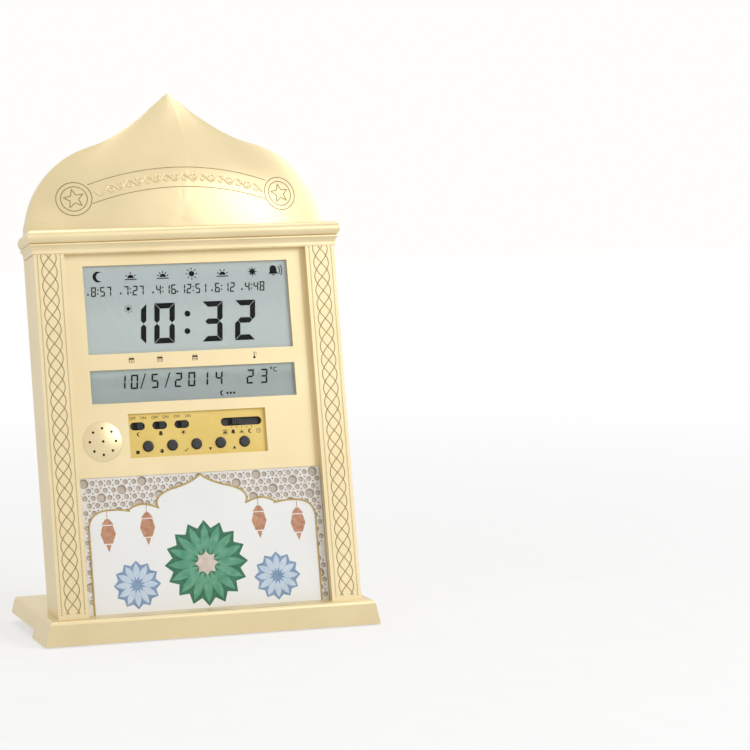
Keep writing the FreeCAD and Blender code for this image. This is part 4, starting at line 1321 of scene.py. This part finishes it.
# Picture
@dataclass
class Picture:
    """The printed picture: a lattice round a lobed arch, with rosettes and lanterns inside it."""

    finishes: Finishes
    frame_half: float = 72.4
    foot: float = 1.2
    pitch: float = 4.9
    large: float = 2.75
    small: float = 1.5
    tiny: float = 0.5
    sheet_half: float = 72.5
    sheet_thick: float = 0.2
    print_thick: float = 0.03
    line_radius: float = 0.5
    line_flatness: float = 0.1
    rosette_centre: Point = (0.0, 27.0)
    side_centre: Point = (42.0, 17.0)
    lantern_size: float = 9.0
    lantern_hooks: tuple[Point, ...] = ((-57.0, 60.0), (-33.5, 62.6), (33.5, 62.6), (57.0, 60.0))

    def arch(self) -> list[Point]:
        """The lobed arch's outline from its left foot over the crown to its right foot.

        Returns:
            The points.
        """
        right = [(68.0, self.foot), (68.0, 51.0)]
        right += self.curve((68.0, 51.0), (67.0, 60.5), (56.0, 60.8), 9)
        right += self.curve((56.0, 60.8), (49.0, 61.2), (43.6, 59.6), 6)
        right += [(43.6, 60.6)]
        right += self.curve((43.6, 60.6), (36.0, 66.0), (26.0, 60.4), 9)
        right += [(26.8, 62.0)]
        right += self.curve((26.8, 62.0), (28.6, 67.6), (17.5, 71.2), 8)
        right += self.curve((17.5, 71.2), (6.0, 73.6), (0.0, 78.6), 8)
        left = [(-across, up) for across, up in right]
        return left + right[::-1][1:]

    @staticmethod
    def curve(start: Point, pull: Point, end: Point, steps: int) -> list[Point]:
        """Points along a curve from start towards pull and on to end.

        Args:
            start: Where it starts.
            pull: The point that it bends towards.
            end: Where it ends.
            steps: How many steps.

        Returns:
            The points without start itself.
        """
        points = []
        for step in range(1, steps + 1):
            share = step / steps
            first = Vector(start).lerp(Vector(pull), share)
            second = Vector(pull).lerp(Vector(end), share)
            place = first.lerp(second, share)
            points.append((place.x, place.y))
        return points

    def cells(self) -> list[tuple[Point, float]]:
        """The lattice's round openings: large ones ringed by small ones, with tiny ones between.

        Returns:
            Each opening's centre and radius, over the picture's upper part and sides.
        """
        openings = []
        rise = self.pitch * math.sqrt(3) / 2
        rows = int(PICTURE_TOP / rise) + 2
        columns = int(2 * self.frame_half / self.pitch) + 4
        for row in range(rows):
            up = PICTURE_TOP - 3.0 - row * rise
            for column in range(-rows, columns):
                across = -self.frame_half + 3.2 + (column + 0.5 * row) * self.pitch
                large = (column + 3 * row) % 7 == 0
                openings.append(((across, up), self.large if large else self.small))
                for way in (-1, 1):
                    between = (across + self.pitch / 2, up + way * rise / 3)
                    openings.append((between, self.tiny))
        wide = [Vector(centre) for centre, radius in openings if radius == self.large]
        reach = self.large + self.tiny + 0.2
        kept = []
        for centre, radius in openings:
            free = radius > self.tiny or all((Vector(centre) - other).length > reach for other in wide)
            if free and self.in_lattice(centre, radius):
                kept.append((centre, radius))
        return kept

    def in_lattice(self, centre: Point, radius: float) -> bool:
        """Whether an opening lies wholly on the picture, and not hidden behind the arch's field.

        Args:
            centre: The opening's middle.
            radius: Its radius.

        Returns:
            True if the opening is printed.
        """
        across, up = abs(centre[0]), centre[1]
        beside = across + radius < self.frame_half - 0.1
        between = self.foot + radius < up < PICTURE_TOP - radius - 0.1
        hidden = up < 50.0 and across < 64.0
        return beside and between and not hidden

    def rosette(self, centre: Point, radius: float, petals: int, width: float) -> list[list[Point]]:
        """Pointed petals round a centre.

        Args:
            centre: The rosette's middle.
            radius: Its reach.
            petals: How many petals.
            width: A petal's half-width.

        Returns:
            One outline for each petal.
        """
        belly = ((0.4, 0.7), (0.6, 1.0), (0.8, 0.75))
        rim = [(0.22, 0.0), *belly, (1.0, 0.0), *((share, -wide) for share, wide in belly[::-1])]
        middle = Vector(centre)
        shapes = []
        for index in range(petals):
            turn = 2 * math.pi * index / petals + math.pi / 2
            along = Vector((math.cos(turn), math.sin(turn)))
            side = Vector((-along.y, along.x))
            points = [middle + along * radius * share + side * width * wide for share, wide in rim]
            shapes.append([(point.x, point.y) for point in points])
        return shapes

    def lantern(self, across: float, top: float, size: float) -> list[list[Point]]:
        """A hanging lantern.

        Args:
            across: Its middle.
            top: Height of its hook.
            size: Its width.

        Returns:
            The outlines of its body, cap, drop and chain.
        """
        body = [(-0.34, 0.0), (-0.5, -0.55), (-0.28, -1.15), (0.28, -1.15), (0.5, -0.55), (0.34, 0.0)]
        cap = [(-0.4, 0.06), (0.4, 0.06), (0.12, 0.42), (-0.12, 0.42)]
        drop = [(-0.18, -1.22), (0.18, -1.22), (0.0, -1.7)]
        low = top - 8.0
        shapes = moved([body, cap, drop], across, low, size)
        shapes.append(block((across, (top + low + 0.42 * size) / 2), 0.4, top - low - 0.42 * size))
        return shapes

    def layer(self, name: str, shapes: list[list[Point]], layer: Layer, finish: Finish) -> None:
        """Prints one colour of the picture."""
        piece = inlay(name, shapes, CARD_FACE - layer.value, self.print_thick)
        finish_piece(piece, self.finishes.get(finish))

    def build(self) -> None:
        """Makes the picture's layers and the clear sheet in front of them."""
        half = self.frame_half
        ground = [(-half, self.foot), (half, self.foot), (half, PICTURE_TOP), (-half, PICTURE_TOP)]
        self.layer("picture_lattice_strands", [ground], Layer.GROUND, LATTICE_STRAND)
        cells = self.cells()
        shades = [ring(centre, radius, 16 if radius > 1 else 8) for centre, radius in cells]
        self.layer("picture_lattice_shade", shades, Layer.PATTERN, LATTICE_SHADE)
        floors = []
        for (across, up), radius in cells:
            if radius > self.tiny:
                floors.append(ring((across - radius * 0.16, up - radius * 0.14), radius * 0.78, 14))
        self.layer("picture_lattice_floors", floors, Layer.FLOOR, LATTICE_DISC)
        arch = self.arch()
        self.layer("picture_window", [arch], Layer.WINDOW, CARD)
        depth = CARD_FACE - Layer.TRIM.value
        outline = wire("picture_arch_line", [arch], self.line_radius, depth)
        for vertex in outline.data.vertices:
            vertex.co.y = depth * MM + (vertex.co.y - depth * MM) * self.line_flatness
        finish_piece(outline, self.finishes.get(ARCH_GOLD))
        self.motifs()
        self.cover()

    def motifs(self) -> None:
        """The rosettes and lanterns inside the arch."""
        centre = self.rosette_centre
        self.layer("picture_rosette_back", [star(centre, 25.0, 20.5, 16)], Layer.MOTIF, GREEN_DEEP)
        self.layer("picture_rosette_petals", self.rosette(centre, 23.0, 16, 2.6), Layer.DETAIL, GREEN_LIGHT)
        self.layer("picture_rosette_heart", [star(centre, 7.0, 5.0, 8)], Layer.TRIM, PALE_STONE)
        blues = []
        blue_petals = []
        for side in (-1, 1):
            place = (side * self.side_centre[0], self.side_centre[1])
            blues.append(star(place, 14.0, 11.5, 12))
            blue_petals += self.rosette(place, 12.6, 12, 1.9)
        self.layer("picture_side_backs", blues, Layer.MOTIF, BLUE_DEEP)
        self.layer("picture_side_petals", blue_petals, Layer.DETAIL, BLUE_PALE)
        lanterns = []
        for across, top in self.lantern_hooks:
            lanterns += self.lantern(across, top, self.lantern_size)
        self.layer("picture_lanterns", lanterns, Layer.MOTIF, TERRACOTTA)

    def cover(self) -> None:
        """The clear sheet, thinner than its CAD solid, so that the print lies free behind it."""
        half, top = self.sheet_half, PICTURE_TOP - 0.1
        shape = [(-half, self.foot), (half, self.foot), (half, top), (-half, top)]
        piece = inlay("picture_clear_sheet", [shape], PANEL_FACE + 0.02, self.sheet_thick)
        finish_piece(piece, self.finishes.get(COVER_CLEAR))
        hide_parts("picture_cover")


# Studio
@dataclass(frozen=True)
class Lamp:
    """A square soft lamp aimed at the clock's middle, in metres and watts."""

    name: str
    place: Place
    size: float
    power: float
    aim: Place = (0.0, 0.0, 0.15)

    def light(self) -> None:
        """Hangs the lamp."""
        data = bpy.data.lights.new(self.name, "AREA")
        data.size = self.size
        data.energy = self.power
        lamp = bpy.data.objects.new(self.name, data)
        lamp.location = self.place
        way = Vector(self.aim) - Vector(self.place)
        lamp.rotation_euler = way.to_track_quat("-Z", "Y").to_euler()
        bpy.context.scene.collection.objects.link(lamp)


@dataclass
class Studio:
    """Floor, soft lamps and the camera."""

    camera_place: Place = (-483.58, -1723.06, 333.97)
    camera_way: Place = (0.31821, 0.94248, -0.10234)
    camera_roll: float = math.radians(-0.71)
    focal: float = 151.43
    sensor_width: float = 36.0
    floor_size: float = 6.0
    world_colour: Colour = (1.0, 0.99, 0.97)
    world_strength: float = 0.54
    lamps: tuple[Lamp, ...] = (
        Lamp("key_lamp", (1.1, -1.2, 1.0), 0.9, 13.0),
        Lamp("fill_lamp", (-1.4, -1.0, 0.7), 1.2, 3.0),
        Lamp("top_lamp", (0.1, 0.3, 1.7), 1.0, 6.0),
    )

    def floor(self) -> None:
        """A wide pale floor."""
        deselect()
        bpy.ops.mesh.primitive_plane_add(size=self.floor_size, location=(0, 0, 0))
        floor = bpy.context.object
        floor.name = "studio_floor"
        sheet = Sheet("studio_floor_paper")
        place = sheet.add("ShaderNodeTexCoord")
        speckle = sheet.add("ShaderNodeTexNoise", {"Scale": 40.0})
        sheet.join(place.outputs["Object"], speckle, "Vector")
        paper = sheet.blend(speckle.outputs["Fac"], (0.9, 0.9, 0.9), (0.93, 0.93, 0.93))
        sheet.join(paper, sheet.shader, "Base Color")
        sheet.shader.inputs["Roughness"].default_value = 0.9
        self.whiten(sheet, place.outputs["Object"])
        floor.data.materials.append(sheet.material)

    @staticmethod
    def seen(tree: bpy.types.NodeTree) -> bpy.types.NodeSocket:
        """Tells where the camera, gloss or glass sees the surface.

        Args:
            tree: The node tree.

        Returns:
            A socket that is one there.
        """
        path = tree.nodes.new("ShaderNodeLightPath")
        total = path.outputs["Is Camera Ray"]
        for name in ("Is Glossy Ray", "Is Transmission Ray"):
            either = tree.nodes.new("ShaderNodeMath")
            either.operation = "MAXIMUM"
            tree.links.new(total, either.inputs[0])
            tree.links.new(path.outputs[name], either.inputs[1])
            total = either.outputs[0]
        return total

    def whiten(self, sheet: Sheet, where: bpy.types.NodeSocket) -> None:
        """Makes the floor show white, with a share of its shading left near the clock.

        Args:
            sheet: The floor's material.
            where: The floor's coordinates in metres.
        """
        away = sheet.add("ShaderNodeVectorMath", operation="LENGTH")
        sheet.join(where, away, 0)
        fade = {"From Min": 0.3, "From Max": 1.1, "To Min": 0.55, "To Max": 1.0}
        share = sheet.add("ShaderNodeMapRange", fade)
        sheet.join(away.outputs["Value"], share, "Value")
        amount = sheet.add("ShaderNodeMath", operation="MULTIPLY")
        sheet.join(share.outputs["Result"], amount, 0)
        sheet.join(self.seen(sheet.tree), amount, 1)
        glow = sheet.add("ShaderNodeEmission", {"Color": (1, 1, 1, 1), "Strength": 1.0})
        mix = sheet.add("ShaderNodeMixShader")
        sheet.join(amount.outputs[0], mix, 0)
        sheet.join(sheet.shader.outputs["BSDF"], mix, 1)
        sheet.join(glow.outputs["Emission"], mix, 2)
        output = sheet.tree.nodes["Material Output"]
        sheet.join(mix.outputs["Shader"], output, "Surface")

    def world(self) -> None:
        """An even sky that is pure white to the camera and in reflections."""
        world = bpy.data.worlds.new("studio")
        bpy.context.scene.world = world
        world.use_nodes = True
        tree = world.node_tree
        background = tree.nodes["Background"]
        background.inputs["Color"].default_value = (*self.world_colour, 1)
        strength = tree.nodes.new("ShaderNodeMapRange")
        strength.inputs["To Min"].default_value = self.world_strength
        strength.inputs["To Max"].default_value = 1.0
        tree.links.new(self.seen(tree), strength.inputs["Value"])
        tree.links.new(strength.outputs["Result"], background.inputs["Strength"])

    def camera(self) -> None:
        """The camera at the photograph's place, with no shift."""
        data = bpy.data.cameras.new("camera")
        data.lens = self.focal
        data.sensor_width = self.sensor_width
        camera = bpy.data.objects.new("camera", data)
        across, back, up = self.camera_place
        place = Vector((across * MM, back * MM + CAD_BOX[0].y, up * MM))
        turn = Vector(self.camera_way).to_track_quat("-Z", "Y").to_matrix().to_4x4()
        camera.matrix_world = Matrix.Translation(place) @ turn @ Matrix.Rotation(self.camera_roll, 4, "Z")
        bpy.context.scene.collection.objects.link(camera)
        bpy.context.scene.camera = camera

    def build(self) -> None:
        """Sets up the whole studio."""
        self.floor()
        self.world()
        for lamp in self.lamps:
            lamp.light()
        self.camera()
        bpy.context.scene.view_settings.view_transform = "Standard"


def dress_nodes(finishes: Finishes) -> None:
    """Gives every CAD node its finish.

    Args:
        finishes: The clock's finishes.
    """
    for finish, names in NODE_FINISHES:
        for name in names:
            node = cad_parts[name]
            for slot in node.material_slots:
                slot.material = finishes.get(finish)
    LOG.info("dressed %d CAD nodes", sum(len(names) for _, names in NODE_FINISHES))


def main() -> None:
    """Builds the clock's looks and the studio."""
    finishes = Finishes()
    dress_nodes(finishes)
    for section in (DomeEngraving, PillarEngraving, Displays, PanelMarks, Picture):
        section(finishes).build()
        LOG.info("built %s", section.__name__)
    Studio().build()


if __name__ == "__main__":
    main()
